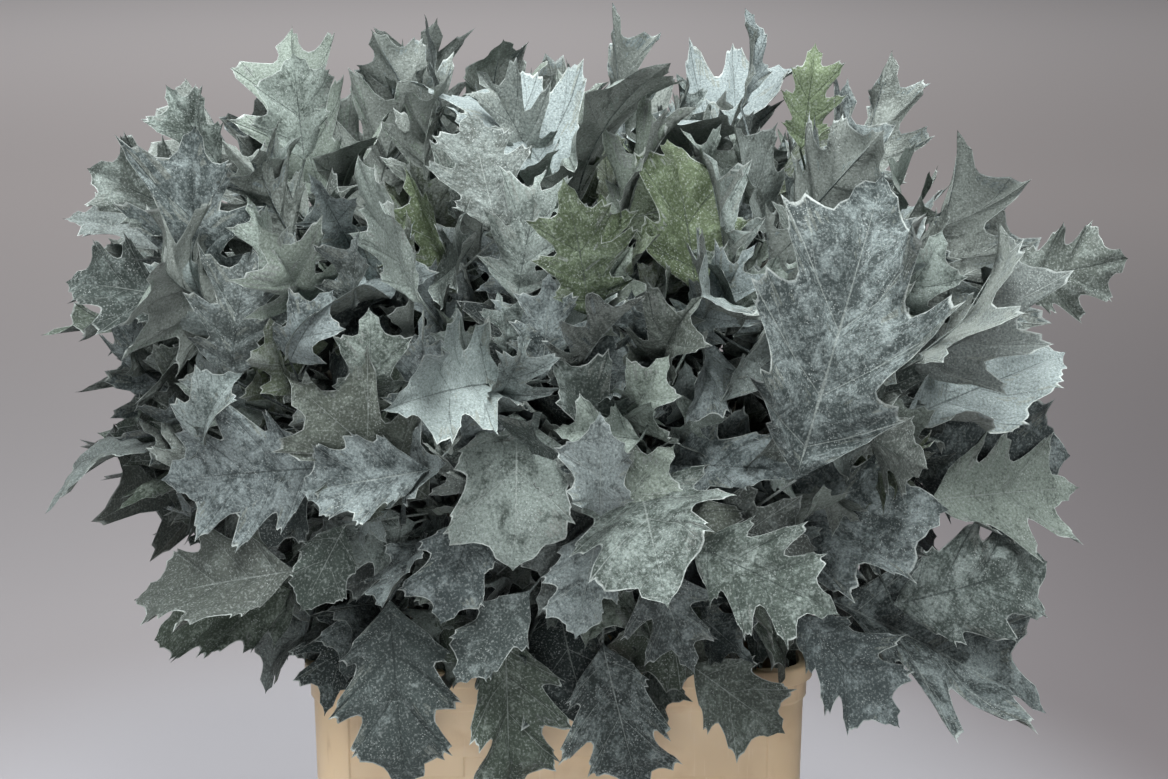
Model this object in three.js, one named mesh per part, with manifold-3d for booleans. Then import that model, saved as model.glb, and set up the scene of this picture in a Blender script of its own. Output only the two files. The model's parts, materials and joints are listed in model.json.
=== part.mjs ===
// A bucket of bleached red oak branches: cut, leafy shoots whose dried leaves are coated grey-white,
// standing in a beige plastic flower bucket. Millimetres, +Z up.
// Origin: the centre of the bucket's underside. +X is along the bucket's long side, and -Y is the front.
import * as THREE from "three";
import { mergeVertices } from "three/addons/utils/BufferGeometryUtils.js";
import Module from "manifold-3d";

const wasm = await Module();
wasm.setup();

// Driving dimensions
const BUCKET_TOP = [424, 316]; // outside, under the rim's lip
const BUCKET_FOOT = [412, 304];
const BUCKET_HEIGHT = 350;
const BRANCH_COUNT = 33;
const LEAVES_PER_BRANCH = 9;
const LEAF_LENGTH = 142; // the mean blade, without its stalk
const BLADE_THICKNESS = 0.9;
const CROWN_CENTRE_Z = 582; // the shoot tips lie on a bulging ellipsoid round this height
const CROWN_REACH = [292, 216, 158]; // its half axes along X, Y and Z
const CROWN_BULGE = 2.5; // 2 is a true ellipsoid, and more is squarer
const CROWN_LOWEST = 135; // degrees from straight up to the lowest shoot's tip

const DEGREE = Math.PI / 180;
const GOLDEN_ANGLE = Math.PI * (3 - Math.sqrt(5));

// Points are plain arrays of three numbers.
const add = (a, b) => [a[0] + b[0], a[1] + b[1], a[2] + b[2]];
const subtract = (a, b) => [a[0] - b[0], a[1] - b[1], a[2] - b[2]];
const scale = (a, k) => [a[0] * k, a[1] * k, a[2] * k];
const dot = (a, b) => a[0] * b[0] + a[1] * b[1] + a[2] * b[2];
const cross = (a, b) => [
  a[1] * b[2] - a[2] * b[1],
  a[2] * b[0] - a[0] * b[2],
  a[0] * b[1] - a[1] * b[0],
];
const unit = (a) => scale(a, 1 / Math.sqrt(dot(a, a)));
const mix = (a, b, t) => a + (b - a) * t;

// Numbers from 0 to 1 that are the same on every run for the same seed.
function drawsFrom(seed) {
  let state = seed >>> 0;
  return () => {
    state = (state + 0x6d2b79f5) >>> 0;
    let t = Math.imul(state ^ (state >>> 15), state | 1);
    t ^= t + Math.imul(t ^ (t >>> 7), t | 61);
    return ((t ^ (t >>> 14)) >>> 0) / 4294967296;
  };
}

// The red oak leaf
// A side vein leaves the midrib at the share `from` of the blade's length, at `angle`, and ends at the
// share `reach` of the length: in a lobe's spine, or short of it in the bay between two lobes.
const SEVEN_LOBES = [
  { from: 0.11, angle: 60 * DEGREE, reach: 0.31, tip: true },
  { from: 0.2, angle: 56 * DEGREE, reach: 0.18, tip: false },
  { from: 0.27, angle: 52 * DEGREE, reach: 0.45, tip: true },
  { from: 0.39, angle: 47 * DEGREE, reach: 0.19, tip: false },
  { from: 0.47, angle: 42 * DEGREE, reach: 0.42, tip: true },
  { from: 0.64, angle: 35 * DEGREE, reach: 0.16, tip: false },
];
const FIVE_LOBES = [
  { from: 0.15, angle: 58 * DEGREE, reach: 0.37, tip: true },
  { from: 0.29, angle: 52 * DEGREE, reach: 0.2, tip: false },
  { from: 0.4, angle: 45 * DEGREE, reach: 0.46, tip: true },
  { from: 0.61, angle: 36 * DEGREE, reach: 0.17, tip: false },
];
const STALK_WIDTH = 2.6;
const CENTRE_AT = 0.5; // where the midrib is creased, as a share of the blade's length

// How one leaf differs from the next: its size, the depth of its bays, and how it dried.
function leafForm(draw, large) {
  const form = {
    lobes: large ? SEVEN_LOBES : FIVE_LOBES,
    length: LEAF_LENGTH * (large ? mix(0.86, 1.32, draw()) : mix(0.66, 0.98, draw())),
    width: mix(0.92, 1.22, draw()),
    bays: mix(1, 1.7, draw()),
    bend: mix(-0.35, 1.25, draw()),
    fold: mix(0.02, 0.5, draw()),
    twist: mix(-0.6, 0.6, draw()),
    wave: mix(-0.2, 0.2, draw()),
    root: [-mix(16, 34, draw()), 0, 0],
  };
  form.reaches = lobeReaches(form, draw);
  return form;
}

// How far each side vein reaches on the right and on the left, as shares of the blade's length.
function lobeReaches(form, draw) {
  return [-1, 1].map(() =>
    form.lobes.map((vein) => vein.reach * (vein.tip ? mix(0.86, 1.14, draw()) : form.bays)),
  );
}

// Where a point of the flat blade lies once the leaf has bent, folded, twisted and waved, and the blade's
// normal there. x runs along the midrib and y across, in millimetres; the blade starts at its base.
function bladePoint(form, x, y) {
  const share = x / form.length;
  const turned = form.bend * share;
  const radius = form.length / (Math.abs(form.bend) < 0.01 ? 0.01 : form.bend);
  const arc = Math.abs(form.bend) < 0.01 ? 0.01 * share : turned;
  const middle = [radius * Math.sin(arc), 0, -radius * (1 - Math.cos(arc))];
  const up = [Math.sin(arc), 0, Math.cos(arc)];
  const roll = form.twist * share;
  const across = add(scale([0, 1, 0], Math.cos(roll)), scale(up, Math.sin(roll)));
  const above = add(scale([0, -1, 0], Math.sin(roll)), scale(up, Math.cos(roll)));
  const side = Math.sign(y);
  const out = Math.abs(y);
  const lift = out * Math.sin(form.fold) + (form.wave * out * out) / (0.3 * form.length);
  const at = add(middle, add(scale(across, y * Math.cos(form.fold)), scale(above, lift)));
  const normal = unit(add(scale(above, Math.cos(form.fold)), scale(across, -side * Math.sin(form.fold))));
  return { at, normal };
}

// The blade and its stalk as one closed mesh. Spines are sharp, and everything else has the thickness. The
// stalk runs from the blade's base to its root, and ends `cut` short of it.
function leafMesh(form, thickness, growth, cut) {
  const points = [];
  const faces = [];
  const keep = (p) => points.push(p) - 1;
  const half = thickness / 2;
  const stalkHalf = (STALK_WIDTH + thickness - BLADE_THICKNESS) / 2;
  const pairAt = (x, y) => {
    const { at, normal } = bladePoint(form, x, y);
    return [keep(add(at, scale(normal, half))), keep(subtract(at, scale(normal, half)))];
  };
  const apex = keep(bladePoint(form, form.length + growth, 0).at);
  const centre = pairAt(CENTRE_AT * form.length, 0);
  const stalkSection = (at) => [
    keep(add(at, [0, -stalkHalf, stalkHalf / 2])),
    keep(add(at, [0, stalkHalf, stalkHalf / 2])),
    keep(add(at, [0, 0, -stalkHalf])),
  ];
  const [baseRight, baseLeft, baseBelow] = stalkSection([0, 0, 0]);
  const rootEnd = scale(form.root, 1 - cut / Math.sqrt(dot(form.root, form.root)));
  const [rootRight, rootLeft, rootBelow] = stalkSection(rootEnd);
  [-1, 1].forEach((side, s) => {
    const outline = form.lobes.map((vein, i) => {
      const reach = form.reaches[s][i] * form.length + (vein.tip ? growth : 0);
      const x = vein.from * form.length + reach * Math.cos(vein.angle);
      const y = side * reach * Math.sin(vein.angle) * form.width;
      if (!vein.tip) return pairAt(x, y);
      const tip = keep(bladePoint(form, x, y).at);
      return [tip, tip];
    });
    outline.unshift([side < 0 ? baseRight : baseLeft, baseBelow]);
    outline.push([apex, apex]);
    const turn = (a, b, c) => faces.push(side < 0 ? [a, b, c] : [a, c, b]);
    const twoFaces = (a, b, c) => {
      turn(a[0], b[0], c[0]);
      turn(a[1], c[1], b[1]);
    };
    const isTip = (i) => outline[i][0] === outline[i][1];
    let inner = 0;
    for (let i = 1; i < outline.length; i++) {
      const [a, b] = [outline[i - 1], outline[i]];
      if (!isTip(i - 1)) turn(a[0], a[1], b[1]);
      if (!isTip(i)) turn(a[0], b[1], b[0]);
      if (isTip(i) && i < outline.length - 1) twoFaces(a, b, outline[i + 1]);
      else {
        twoFaces(centre, outline[inner], b);
        inner = i;
      }
    }
  });
  faces.push([centre[0], baseLeft, baseRight]);
  faces.push([baseRight, baseLeft, rootLeft], [baseRight, rootLeft, rootRight]);
  faces.push([baseLeft, baseBelow, rootBelow], [baseLeft, rootBelow, rootLeft]);
  faces.push([baseRight, rootBelow, baseBelow], [baseRight, rootRight, rootBelow]);
  faces.push([rootLeft, rootBelow, rootRight]);
  return { points, faces };
}

// A round stick along a path, with its own radius at each point of the path, as one closed mesh. Its foot
// is cut level.
function stickMesh(path, radii, sides) {
  const points = [];
  path.forEach((at, i) => {
    const ahead = subtract(path[Math.min(i + 1, path.length - 1)], path[Math.max(i - 1, 0)]);
    const along = i === 0 ? [0, 0, 1] : unit(ahead);
    const across = unit(cross(along, [0.3, 1, 0]));
    const other = cross(along, across);
    for (let k = 0; k < sides; k++) {
      const turn = (2 * Math.PI * k) / sides;
      const out = add(scale(across, Math.cos(turn)), scale(other, Math.sin(turn)));
      points.push(add(at, scale(out, radii[i])));
    }
  });
  return { points, faces: ringFaces(path.length, sides) };
}

// The faces of a closed skin through rings that each have `count` points.
function ringFaces(rings, count) {
  const faces = [];
  for (let i = 0; i + 1 < rings; i++) {
    for (let k = 0; k < count; k++) {
      const [a, b] = [i * count + k, i * count + ((k + 1) % count)];
      faces.push([a, b, b + count], [a, b + count, a + count]);
    }
  }
  const last = (rings - 1) * count;
  for (let k = 2; k < count; k++) faces.push([0, k, k - 1], [last, last + k - 1, last + k]);
  return faces;
}

// Whether two closed meshes cross
// Adds what the test needs: the edges, the box round the points, and each face's plane and box.
function prepared(mesh) {
  const edges = [];
  const seen = new Set();
  const planes = mesh.faces.map((face) => {
    face.forEach((a, k) => {
      const b = face[(k + 1) % 3];
      const key = Math.min(a, b) * 4096 + Math.max(a, b);
      if (!seen.has(key)) edges.push([a, b]);
      seen.add(key);
    });
    const [a, b, c] = face.map((i) => mesh.points[i]);
    const normal = cross(subtract(b, a), subtract(c, a));
    return { normal, offset: dot(normal, a), corners: [a, b, c], box: boxRound([a, b, c]) };
  });
  return { ...mesh, edges, planes, box: boxRound(mesh.points) };
}

function boxRound(points) {
  const along = (axis, pick) => pick(...points.map((p) => p[axis]));
  return [0, 1, 2].map((axis) => [along(axis, Math.min), along(axis, Math.max)]);
}

const boxesMeet = (a, b) => a.every(([low, high], axis) => low <= b[axis][1] && b[axis][0] <= high);

// True if an edge of mesh a goes through a face of mesh b.
function edgePierces(a, b) {
  for (const plane of b.planes) {
    if (!boxesMeet(plane.box, a.box)) continue;
    const heights = a.points.map((p) => dot(plane.normal, p) - plane.offset);
    for (const [i, k] of a.edges) {
      if (heights[i] > 0 === heights[k] > 0) continue;
      const share = heights[i] / (heights[i] - heights[k]);
      const hit = add(a.points[i], scale(subtract(a.points[k], a.points[i]), share));
      const inside = plane.corners.every((corner, m) => {
        const side = cross(subtract(plane.corners[(m + 1) % 3], corner), subtract(hit, corner));
        return dot(side, plane.normal) >= 0;
      });
      if (inside) return true;
    }
  }
  return false;
}

const meshesCross = (a, b) => boxesMeet(a.box, b.box) && (edgePierces(a, b) || edgePierces(b, a));

// A box as a closed mesh, from its lowest to its highest corner.
function boxMesh(low, high) {
  const points = [low[2], high[2]].flatMap((z) => [
    [low[0], low[1], z],
    [high[0], low[1], z],
    [high[0], high[1], z],
    [low[0], high[1], z],
  ]);
  return { points, faces: ringFaces(2, 4) };
}

// The branches
// Each stands on the bucket's floor, leans out through its mouth and ends at the crown. Numbered from the
// middle of the bunch outwards, they turn by the golden angle, so that no two meet.
const FLOOR = 4;
const SEAT_GAP = 0.3;
const FOOT_SPREAD = [148, 97];
const MOUTH_SPREAD = [158, 108];
const MOUTH_Z = BUCKET_HEIGHT - 40;
const STEM_RADII = [4.4, 3.8, 3.2, 2.6, 1.9];
const STEM_SIDES = 4;

function branchStem(number) {
  const share = (number + 0.5) / BRANCH_COUNT;
  const turn = number * GOLDEN_ANGLE;
  const [c, s] = [Math.cos(turn), Math.sin(turn)];
  const spread = Math.sqrt(share);
  const lean = Math.acos(1 - (1 - Math.cos(CROWN_LOWEST * DEGREE)) * share);
  const out = [Math.sin(lean) * c, Math.sin(lean) * s, Math.cos(lean)];
  const bulge = Math.pow(
    out.reduce((sum, x) => sum + Math.pow(Math.abs(x), CROWN_BULGE), 0),
    -1 / CROWN_BULGE,
  );
  const tip = out.map((x, axis) => x * bulge * CROWN_REACH[axis] + (axis === 2 ? CROWN_CENTRE_Z : 0));
  const foot = [FOOT_SPREAD[0] * spread * c, FOOT_SPREAD[1] * spread * s, FLOOR + SEAT_GAP];
  const mouth = [MOUTH_SPREAD[0] * spread * c, MOUTH_SPREAD[1] * spread * s, MOUTH_Z];
  const before = [mix(mouth[0], tip[0], 0.35), mix(mouth[1], tip[1], 0.35), mix(mouth[2], tip[2], 0.8) + 30];
  const curve = (t) => {
    const u = 1 - t;
    const weights = [u * u * u, 3 * u * u * t, 3 * u * t * t, t * t * t];
    return [0, 1, 2].map((axis) =>
      [foot, mouth, before, tip].reduce((sum, p, i) => sum + weights[i] * p[axis], 0),
    );
  };
  const spans = STEM_RADII.length - 1;
  const path = STEM_RADII.map((_, i) => curve(Math.pow(i / spans, 0.8)));
  const at = (along) => {
    const i = Math.min(Math.floor(along * spans), spans - 1);
    return add(path[i], scale(subtract(path[i + 1], path[i]), along * spans - i));
  };
  return { number, share, outward: [c, s, 0], at, path };
}

function stemRadius(share) {
  const at = share * (STEM_RADII.length - 1);
  const i = Math.min(Math.floor(at), STEM_RADII.length - 2);
  return mix(STEM_RADII[i], STEM_RADII[i + 1], at - i);
}

// The leaves that stand out from the bunch: the blade's base and tip, the way its upper face looks, how
// many lobes it has and how wide it is. The window is half the width that is kept free before the blade.
const SHOWN_LEAVES = [
  { base: [186, -318, 559], tip: [257, -250, 791], face: [-0.1, -1, 0.1], lobes: 7, width: 1, window: 60 },
  { base: [383, -60, 661], tip: [495, -30, 682], face: [0, -0.9, 0.5], lobes: 7, width: 1 },
  { base: [-137, -228, 434], tip: [-125, -240, 273], face: [0, -1, 0.1], lobes: 7, width: 0.9, window: 45 },
  { base: [107, -290, 500], tip: [223, -322, 450], face: [0, -1, 0.5], lobes: 7, width: 1.15, window: 40 },
  { base: [35, -330, 534], tip: [34, -342, 620], face: [0, -1, 0.2], lobes: 5, width: 1.3, window: 40 },
  { base: [-43, -235, 412], tip: [-40, -238, 263], face: [0.1, -1, 0], lobes: 7, width: 0.95 },
  { base: [37, -242, 402], tip: [69, -242, 272], face: [-0.1, -1, 0.1], lobes: 7, width: 1 },
  { base: [111, -212, 372], tip: [190, -212, 312], face: [0, -1, 0.3], lobes: 5, width: 1.2 },
  { base: [232, -140, 406], tip: [424, -120, 296], face: [0.2, -0.8, 0.6], lobes: 7, width: 1.2 },
  { base: [-286, -120, 724], tip: [-394, -100, 771], face: [-0.2, -0.9, 0.5], lobes: 7, width: 1.1 },
  { base: [-308, -120, 663], tip: [-418, -90, 672], face: [-0.1, -0.9, 0.4], lobes: 7, width: 1 },
  { base: [-330, 20, 617], tip: [-460, 0, 607], face: [0, -0.3, 1], lobes: 5, width: 0.6 },
  { base: [158, -20, 812], tip: [160, -10, 897], face: [1, -0.4, 0], lobes: 5, width: 0.5 },
  { base: [-103, 0, 812], tip: [-116, 10, 890], face: [-1, -0.6, 0], lobes: 5, width: 0.5 },
  { base: [-104, -272, 690], tip: [-156, -222, 800], face: [-3, -4, 0], lobes: 7, width: 0.8, window: 35 },
  { base: [-213, -232, 460], tip: [-353, -190, 421], face: [-0.1, -0.8, 0.5], lobes: 7, width: 1 },
  { base: [-46, -222, 734], tip: [-72, -158, 826], face: [0, -0.9, 0.5], lobes: 7, width: 0.95 },
  { base: [315, -140, 494], tip: [456, -60, 484], face: [0.3, -0.8, 0.5], lobes: 7, width: 0.95 },
  { base: [284, -170, 571], tip: [435, -80, 609], face: [0.2, -0.8, 0.5], lobes: 7, width: 0.95 },
  { base: [-289, -40, 761], tip: [-338, -20, 832], face: [-0.3, -0.9, 0.3], lobes: 5, width: 1.2 },
  { base: [-216, -60, 772], tip: [-226, -40, 862], face: [-0.1, -0.9, 0.3], lobes: 5, width: 1.3 },
  { base: [206, -60, 781], tip: [217, -60, 872], face: [0.1, -1, 0.2], lobes: 7, width: 0.9 },
  { base: [285, -150, 405], tip: [423, -100, 428], face: [0.2, -0.9, 0.2], lobes: 7, width: 1 },
  { base: [-227, -150, 418], tip: [-349, -120, 363], face: [-0.2, -0.8, 0.5], lobes: 7, width: 1 },
  { base: [-316, -60, 699], tip: [-432, -20, 715], face: [-0.3, -0.5, 0.8], lobes: 5, width: 0.6 },
  { base: [-186, -240, 549], tip: [-326, -200, 528], face: [-1, -3, 1], lobes: 7, width: 1.15, window: 35 },
  { base: [-170, -250, 504], tip: [-206, -270, 437], face: [0, -1, 0.2], lobes: 5, width: 1.1 },
  { base: [-100, -270, 555], tip: [-205, -260, 534], face: [0, -0.9, 0.4], lobes: 7, width: 1.1 },
  { base: [66, -300, 587], tip: [-3, -300, 595], face: [0, -0.9, 0.4], lobes: 5, width: 1.3 },
  { base: [201, -200, 412], tip: [285, -215, 318], face: [0.2, -0.8, 0.5], lobes: 7, width: 1.1 },
  { base: [35, -270, 514], tip: [15, -290, 420], face: [0, -1, 0.1], lobes: 7, width: 1 },
  { base: [71, -275, 494], tip: [111, -285, 389], face: [0.1, -1, 0.1], lobes: 7, width: 1 },
  { base: [-65, -260, 515], tip: [-93, -280, 429], face: [-0.1, -1, 0.1], lobes: 5, width: 1.1 },
  { base: [-21, -270, 455], tip: [-82, -280, 379], face: [-0.6, -0.8, 0], lobes: 5, width: 0.9 },
];

const ROOT_SHARES = Array.from({ length: 20 }, (_, i) => 0.6 + 0.02 * i); // where they may leave a stem
const ROOT_SLANT = 0.15; // a root lies behind the blade's base by this share of its distance at least
const NEAREST_STEMS = 7;

// One try at a shown leaf. It grows from one of the nearest stems, on a stalk as long as it has to be.
function shownTry(stems, { base, tip, face, lobes, width }, index, attempt) {
  const form = leafForm(drawsFrom(index * 97 + attempt), lobes === 7);
  form.width = width;
  form.bend *= 0.5;
  const chord = subtract(tip, base);
  const half = form.bend / 2;
  form.length = (Math.sqrt(dot(chord, chord)) * half) / Math.sin(half);
  const ahead = unit(chord);
  const up = unit(subtract(face, scale(ahead, dot(face, ahead))));
  const x = add(scale(ahead, Math.cos(half)), scale(up, Math.sin(half)));
  const z = subtract(scale(up, Math.cos(half)), scale(ahead, Math.sin(half)));
  const y = cross(z, x);
  const roots = stems.flatMap((stem) => {
    const places = ROOT_SHARES.map((share) => {
      const away = subtract(stem.at(share), base);
      return { stem, share, away, apart: Math.sqrt(dot(away, away)) };
    });
    const behind = places.filter(({ away, apart }) => dot(away, x) < -ROOT_SLANT * apart);
    return behind.sort((a, b) => a.apart - b.apart).slice(0, 1);
  });
  roots.sort((a, b) => a.apart - b.apart);
  const { stem, share, away } = roots[attempt % Math.min(roots.length, NEAREST_STEMS)];
  form.root = [dot(away, x), dot(away, y), dot(away, z)];
  return { form, origin: base, axes: [x, y, z], cut: stemRadius(share), stem };
}

// How far back from the shoot's tip leaf j sits, as a share of the stem, and its angle to the shoot. The
// first few crowd round the tip, as they do on red oak.
const CROWDED = 4;
const leafBack = (j) => (j < CROWDED ? 0.01 + 0.012 * j : 0.08 + 0.034 * (j - CROWDED));
const leafAngle = (j) => mix(16, 92, Math.pow(j / (LEAVES_PER_BRANCH - 1), 0.75)) * DEGREE;

const LARGE_LEAVES = 2; // the first leaves of a shoot have seven lobes, and the rest five
const ATTEMPTS = 14;
const SHOWN_ATTEMPTS = 35;
const SHRINK_FROM = 6; // from this attempt on a leaf gets smaller

// One try at a leaf: its form, and its place as an origin and three axes.
function leafTry(stem, j, attempt) {
  const draw = drawsFrom(stem.number * 7919 + j * 131 + attempt);
  const form = leafForm(draw, j < LARGE_LEAVES);
  const share = 1 - leafBack(j);
  const along = unit(subtract(stem.at(share + 0.01), stem.at(share - 0.01)));
  const first = unit(cross(along, Math.abs(along[2]) > 0.8 ? [0, 1, 0] : [0, 0, 1]));
  const second = cross(along, first);
  const angle = leafAngle(j) + mix(-16, 16, draw()) * DEGREE;
  const turn = j * GOLDEN_ANGLE + stem.number * 1.3 + mix(-0.5, 0.5, draw());
  const round = add(scale(first, Math.cos(turn)), scale(second, Math.sin(turn)));
  const pull = add(scale(stem.outward, 0.6 * stem.share), [0, 0, -mix(0.1, 0.6, stem.share)]);
  const ahead = add(scale(along, Math.cos(angle)), scale(round, Math.sin(angle)));
  const x = unit(add(ahead, scale(pull, Math.sin(angle))));
  const facing = subtract(scale(along, Math.sin(angle)), scale(round, Math.cos(angle)));
  const level = unit(subtract(facing, scale(x, dot(facing, x))));
  const roll = mix(-0.7, 0.7, draw());
  const z = add(scale(level, Math.cos(roll)), scale(cross(x, level), Math.sin(roll)));
  form.length *= 1 - 0.05 * Math.max(attempt - SHRINK_FROM + 1, 0);
  const origin = subtract(stem.at(share), scale(x, form.root[0]));
  return { form, origin, axes: [x, cross(z, x), z], cut: stemRadius(share), stem };
}

function placedMesh(mesh, { origin, axes: [x, y, z] }) {
  const place = (p) => add(origin, add(add(scale(x, p[0]), scale(y, p[1])), scale(z, p[2])));
  return { points: mesh.points.map(place), faces: mesh.faces };
}

const CLEARANCE = 0.6; // kept round every leaf, so that no two pieces touch
const BUCKET_CLEARANCE = [9, 9, 2]; // kept round the bucket, which its lip is inside of
const STALK_FREE = 2.5; // of the stalk next to its own stem, which is no crossing
const WINDOW_FRONT = -600;
const WINDOW_GAP = 12;

// The space in front of a shown leaf, where no other leaf may hide it.
function windowBox({ base, tip, window }) {
  const middle = scale(add(base, tip), 0.5);
  const low = [middle[0] - window, WINDOW_FRONT, Math.min(base[2], tip[2])];
  const high = [middle[0] + window, middle[1] - WINDOW_GAP, Math.max(base[2], tip[2])];
  return boxMesh(low, high);
}

// Fills the crown leaf by leaf, first the shown ones, then from the shoots' tips down. A leaf that would
// cross what is already there is turned and bent again, and left out if it never clears.
function placeLeaves(stems) {
  const corner = [BUCKET_TOP[0] / 2, BUCKET_TOP[1] / 2, BUCKET_HEIGHT];
  const top = add(corner, BUCKET_CLEARANCE);
  const radii = STEM_RADII.map((r) => r + CLEARANCE);
  const sticks = stems.map((stem) => stickMesh(stem.path, radii, STEM_SIDES));
  const taken = [boxMesh([-top[0], -top[1], 0], top), ...sticks].map(prepared);
  const leaves = [];
  const place = (attempts, leafAt) => {
    for (let attempt = 0; attempt < attempts; attempt++) {
      const leaf = leafAt(attempt);
      const thickness = BLADE_THICKNESS + 2 * CLEARANCE;
      const room = leafMesh(leaf.form, thickness, 2 * CLEARANCE, leaf.cut + STALK_FREE);
      const tested = prepared(placedMesh(room, leaf));
      if (taken.some((other) => meshesCross(tested, other))) continue;
      taken.push(tested);
      leaves.push(leaf);
      return;
    }
  };
  SHOWN_LEAVES.forEach((shown, index) =>
    place(SHOWN_ATTEMPTS, (attempt) => shownTry(stems, shown, index, attempt)),
  );
  const windows = SHOWN_LEAVES.filter((shown) => shown.window).map(windowBox);
  taken.push(...windows.map(prepared));
  for (let j = 0; j < LEAVES_PER_BRANCH; j++) {
    for (const stem of stems) place(ATTEMPTS, (attempt) => leafTry(stem, j, attempt));
  }
  return leaves;
}

// Solids
function solidOf({ points, faces }) {
  return new wasm.Manifold(
    new wasm.Mesh({
      numProp: 3,
      vertProperties: new Float32Array(points.flat()),
      triVerts: new Uint32Array(faces.flat()),
    }),
  );
}

function meshOf(solid, name, material) {
  const { vertProperties, triVerts, numProp } = solid.getMesh();
  const geometry = new THREE.BufferGeometry();
  const places = new Float32Array((vertProperties.length / numProp) * 3);
  for (let i = 0; i < places.length / 3; i++) {
    places.set(vertProperties.subarray(i * numProp, i * numProp + 3), i * 3);
  }
  geometry.setAttribute("position", new THREE.BufferAttribute(places, 3));
  geometry.setIndex(new THREE.BufferAttribute(triVerts, 1));
  geometry.computeVertexNormals();
  const mesh = new THREE.Mesh(geometry, material);
  mesh.name = name;
  return mesh;
}

const stems = Array.from({ length: BRANCH_COUNT }, (_, number) => branchStem(number));
const leaves = placeLeaves(stems);
const foliage = new THREE.MeshStandardMaterial({ color: 0x8d9a97, roughness: 0.85, metalness: 0 });
const bunch = new THREE.Group();
for (const stem of stems) {
  const stick = solidOf(stickMesh(stem.path, STEM_RADII, STEM_SIDES));
  const own = leaves.filter((leaf) => leaf.stem === stem);
  const blades = own.map((leaf) => placedMesh(leafMesh(leaf.form, BLADE_THICKNESS, 0, 0), leaf));
  const branch = blades.reduce((joined, blade) => joined.add(solidOf(blade)), stick);
  bunch.add(meshOf(branch, "branch_" + String(stem.number + 1).padStart(2, "0"), foliage));
}

// The bucket: one moulding with rounded corners, a lip round its mouth, a raised band under the lip and a
// foot that is set in. Each long side has a wide recess with a deeper, stepped panel in it.
const WALL = 5;
const CORNER = 30;
const LIP = 7; // how far the lip stands out
const LIP_HEIGHT = 16;
const BAND = { out: 2.5, height: 34 }; // how far the band stands out, and how far down it comes
const FOOT = { inset: 5, height: 14 };
const CORNER_STEPS = 4;
const RECESS = { halfWidth: 180, low: 30, high: 312, depth: 1.6 };
const PANEL = { halfWidth: 143, low: 62, high: 252, depth: 3.2, tabHalfWidth: 82, tabHigh: 270, step: 4 };

// One ring of the bucket at a height: its tapered outline, grown or shrunk by `out`.
function bucketRing(z, out) {
  const [halfX, halfY] = [0, 1].map((k) => mix(BUCKET_FOOT[k], BUCKET_TOP[k], z / BUCKET_HEIGHT) / 2);
  return [0, 1, 2, 3].flatMap((quarter) =>
    Array.from({ length: CORNER_STEPS + 1 }, (_, i) => {
      const turn = (quarter + i / CORNER_STEPS) * (Math.PI / 2);
      const toX = quarter === 0 || quarter === 3 ? 1 : -1;
      const toY = quarter < 2 ? 1 : -1;
      const reach = CORNER + out;
      return [
        toX * (halfX - CORNER) + reach * Math.cos(turn),
        toY * (halfY - CORNER) + reach * Math.sin(turn),
        z,
      ];
    }),
  );
}

// A block that cuts an outline, given in x and z, to a depth into the leaning wall of one long side.
function cutBlock(outline, depth, side) {
  const shape = new THREE.Shape(outline.map(([x, z]) => new THREE.Vector2(x, z)));
  const block = new THREE.ExtrudeGeometry(shape, { depth: 20, bevelEnabled: false });
  block.rotateX(Math.PI / 2);
  block.rotateX(Math.atan((BUCKET_TOP[1] - BUCKET_FOOT[1]) / 2 / BUCKET_HEIGHT));
  block.translate(0, depth - BUCKET_FOOT[1] / 2, 0);
  if (side > 0) block.rotateZ(Math.PI);
  return solidOfGeometry(block);
}

function bucketSolid() {
  const lipFoot = BUCKET_HEIGHT - LIP_HEIGHT;
  const bandFoot = BUCKET_HEIGHT - BAND.height;
  const rings = [
    bucketRing(0, -FOOT.inset - 1),
    bucketRing(FOOT.height, -FOOT.inset),
    bucketRing(FOOT.height + 2, 0),
    bucketRing(bandFoot, 0),
    bucketRing(bandFoot + 3, BAND.out),
    bucketRing(lipFoot, BAND.out),
    bucketRing(lipFoot + 2, LIP),
    bucketRing(BUCKET_HEIGHT, LIP),
    bucketRing(BUCKET_HEIGHT, -WALL),
    bucketRing(FLOOR, -WALL - FOOT.inset),
  ];
  const body = solidOf({ points: rings.flat(), faces: ringFaces(rings.length, rings[0].length) });
  const { halfWidth, low, high } = RECESS;
  const recess = [[-halfWidth, low], [halfWidth, low], [halfWidth, high], [-halfWidth, high]];
  const tab = PANEL.tabHalfWidth;
  const panel = [
    [-PANEL.halfWidth, PANEL.low],
    [PANEL.halfWidth, PANEL.low],
    [PANEL.halfWidth, PANEL.high],
    [tab + PANEL.step, PANEL.high],
    [tab, PANEL.high + PANEL.step],
    [tab, PANEL.tabHigh],
    [-tab, PANEL.tabHigh],
    [-tab, PANEL.high + PANEL.step],
    [-tab - PANEL.step, PANEL.high],
    [-PANEL.halfWidth, PANEL.high],
  ];
  return [-1, 1].reduce((solid, side) => {
    const recessed = solid.subtract(cutBlock(recess, RECESS.depth, side));
    return recessed.subtract(cutBlock(panel, PANEL.depth, side));
  }, body);
}

function solidOfGeometry(geometry) {
  geometry.deleteAttribute("normal");
  geometry.deleteAttribute("uv");
  const merged = mergeVertices(geometry, 1e-3);
  return new wasm.Manifold(
    new wasm.Mesh({
      numProp: 3,
      vertProperties: merged.attributes.position.array,
      triVerts: new Uint32Array(merged.index.array),
    }),
  );
}

const plastic = new THREE.MeshStandardMaterial({ color: 0xd8b78c, roughness: 0.45, metalness: 0 });
bunch.add(meshOf(bucketSolid(), "bucket", plastic));

export default bunch;
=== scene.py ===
import json
import math
from types import SimpleNamespace

import bpy
import numpy as np
from mathutils import Matrix, Vector

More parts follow.
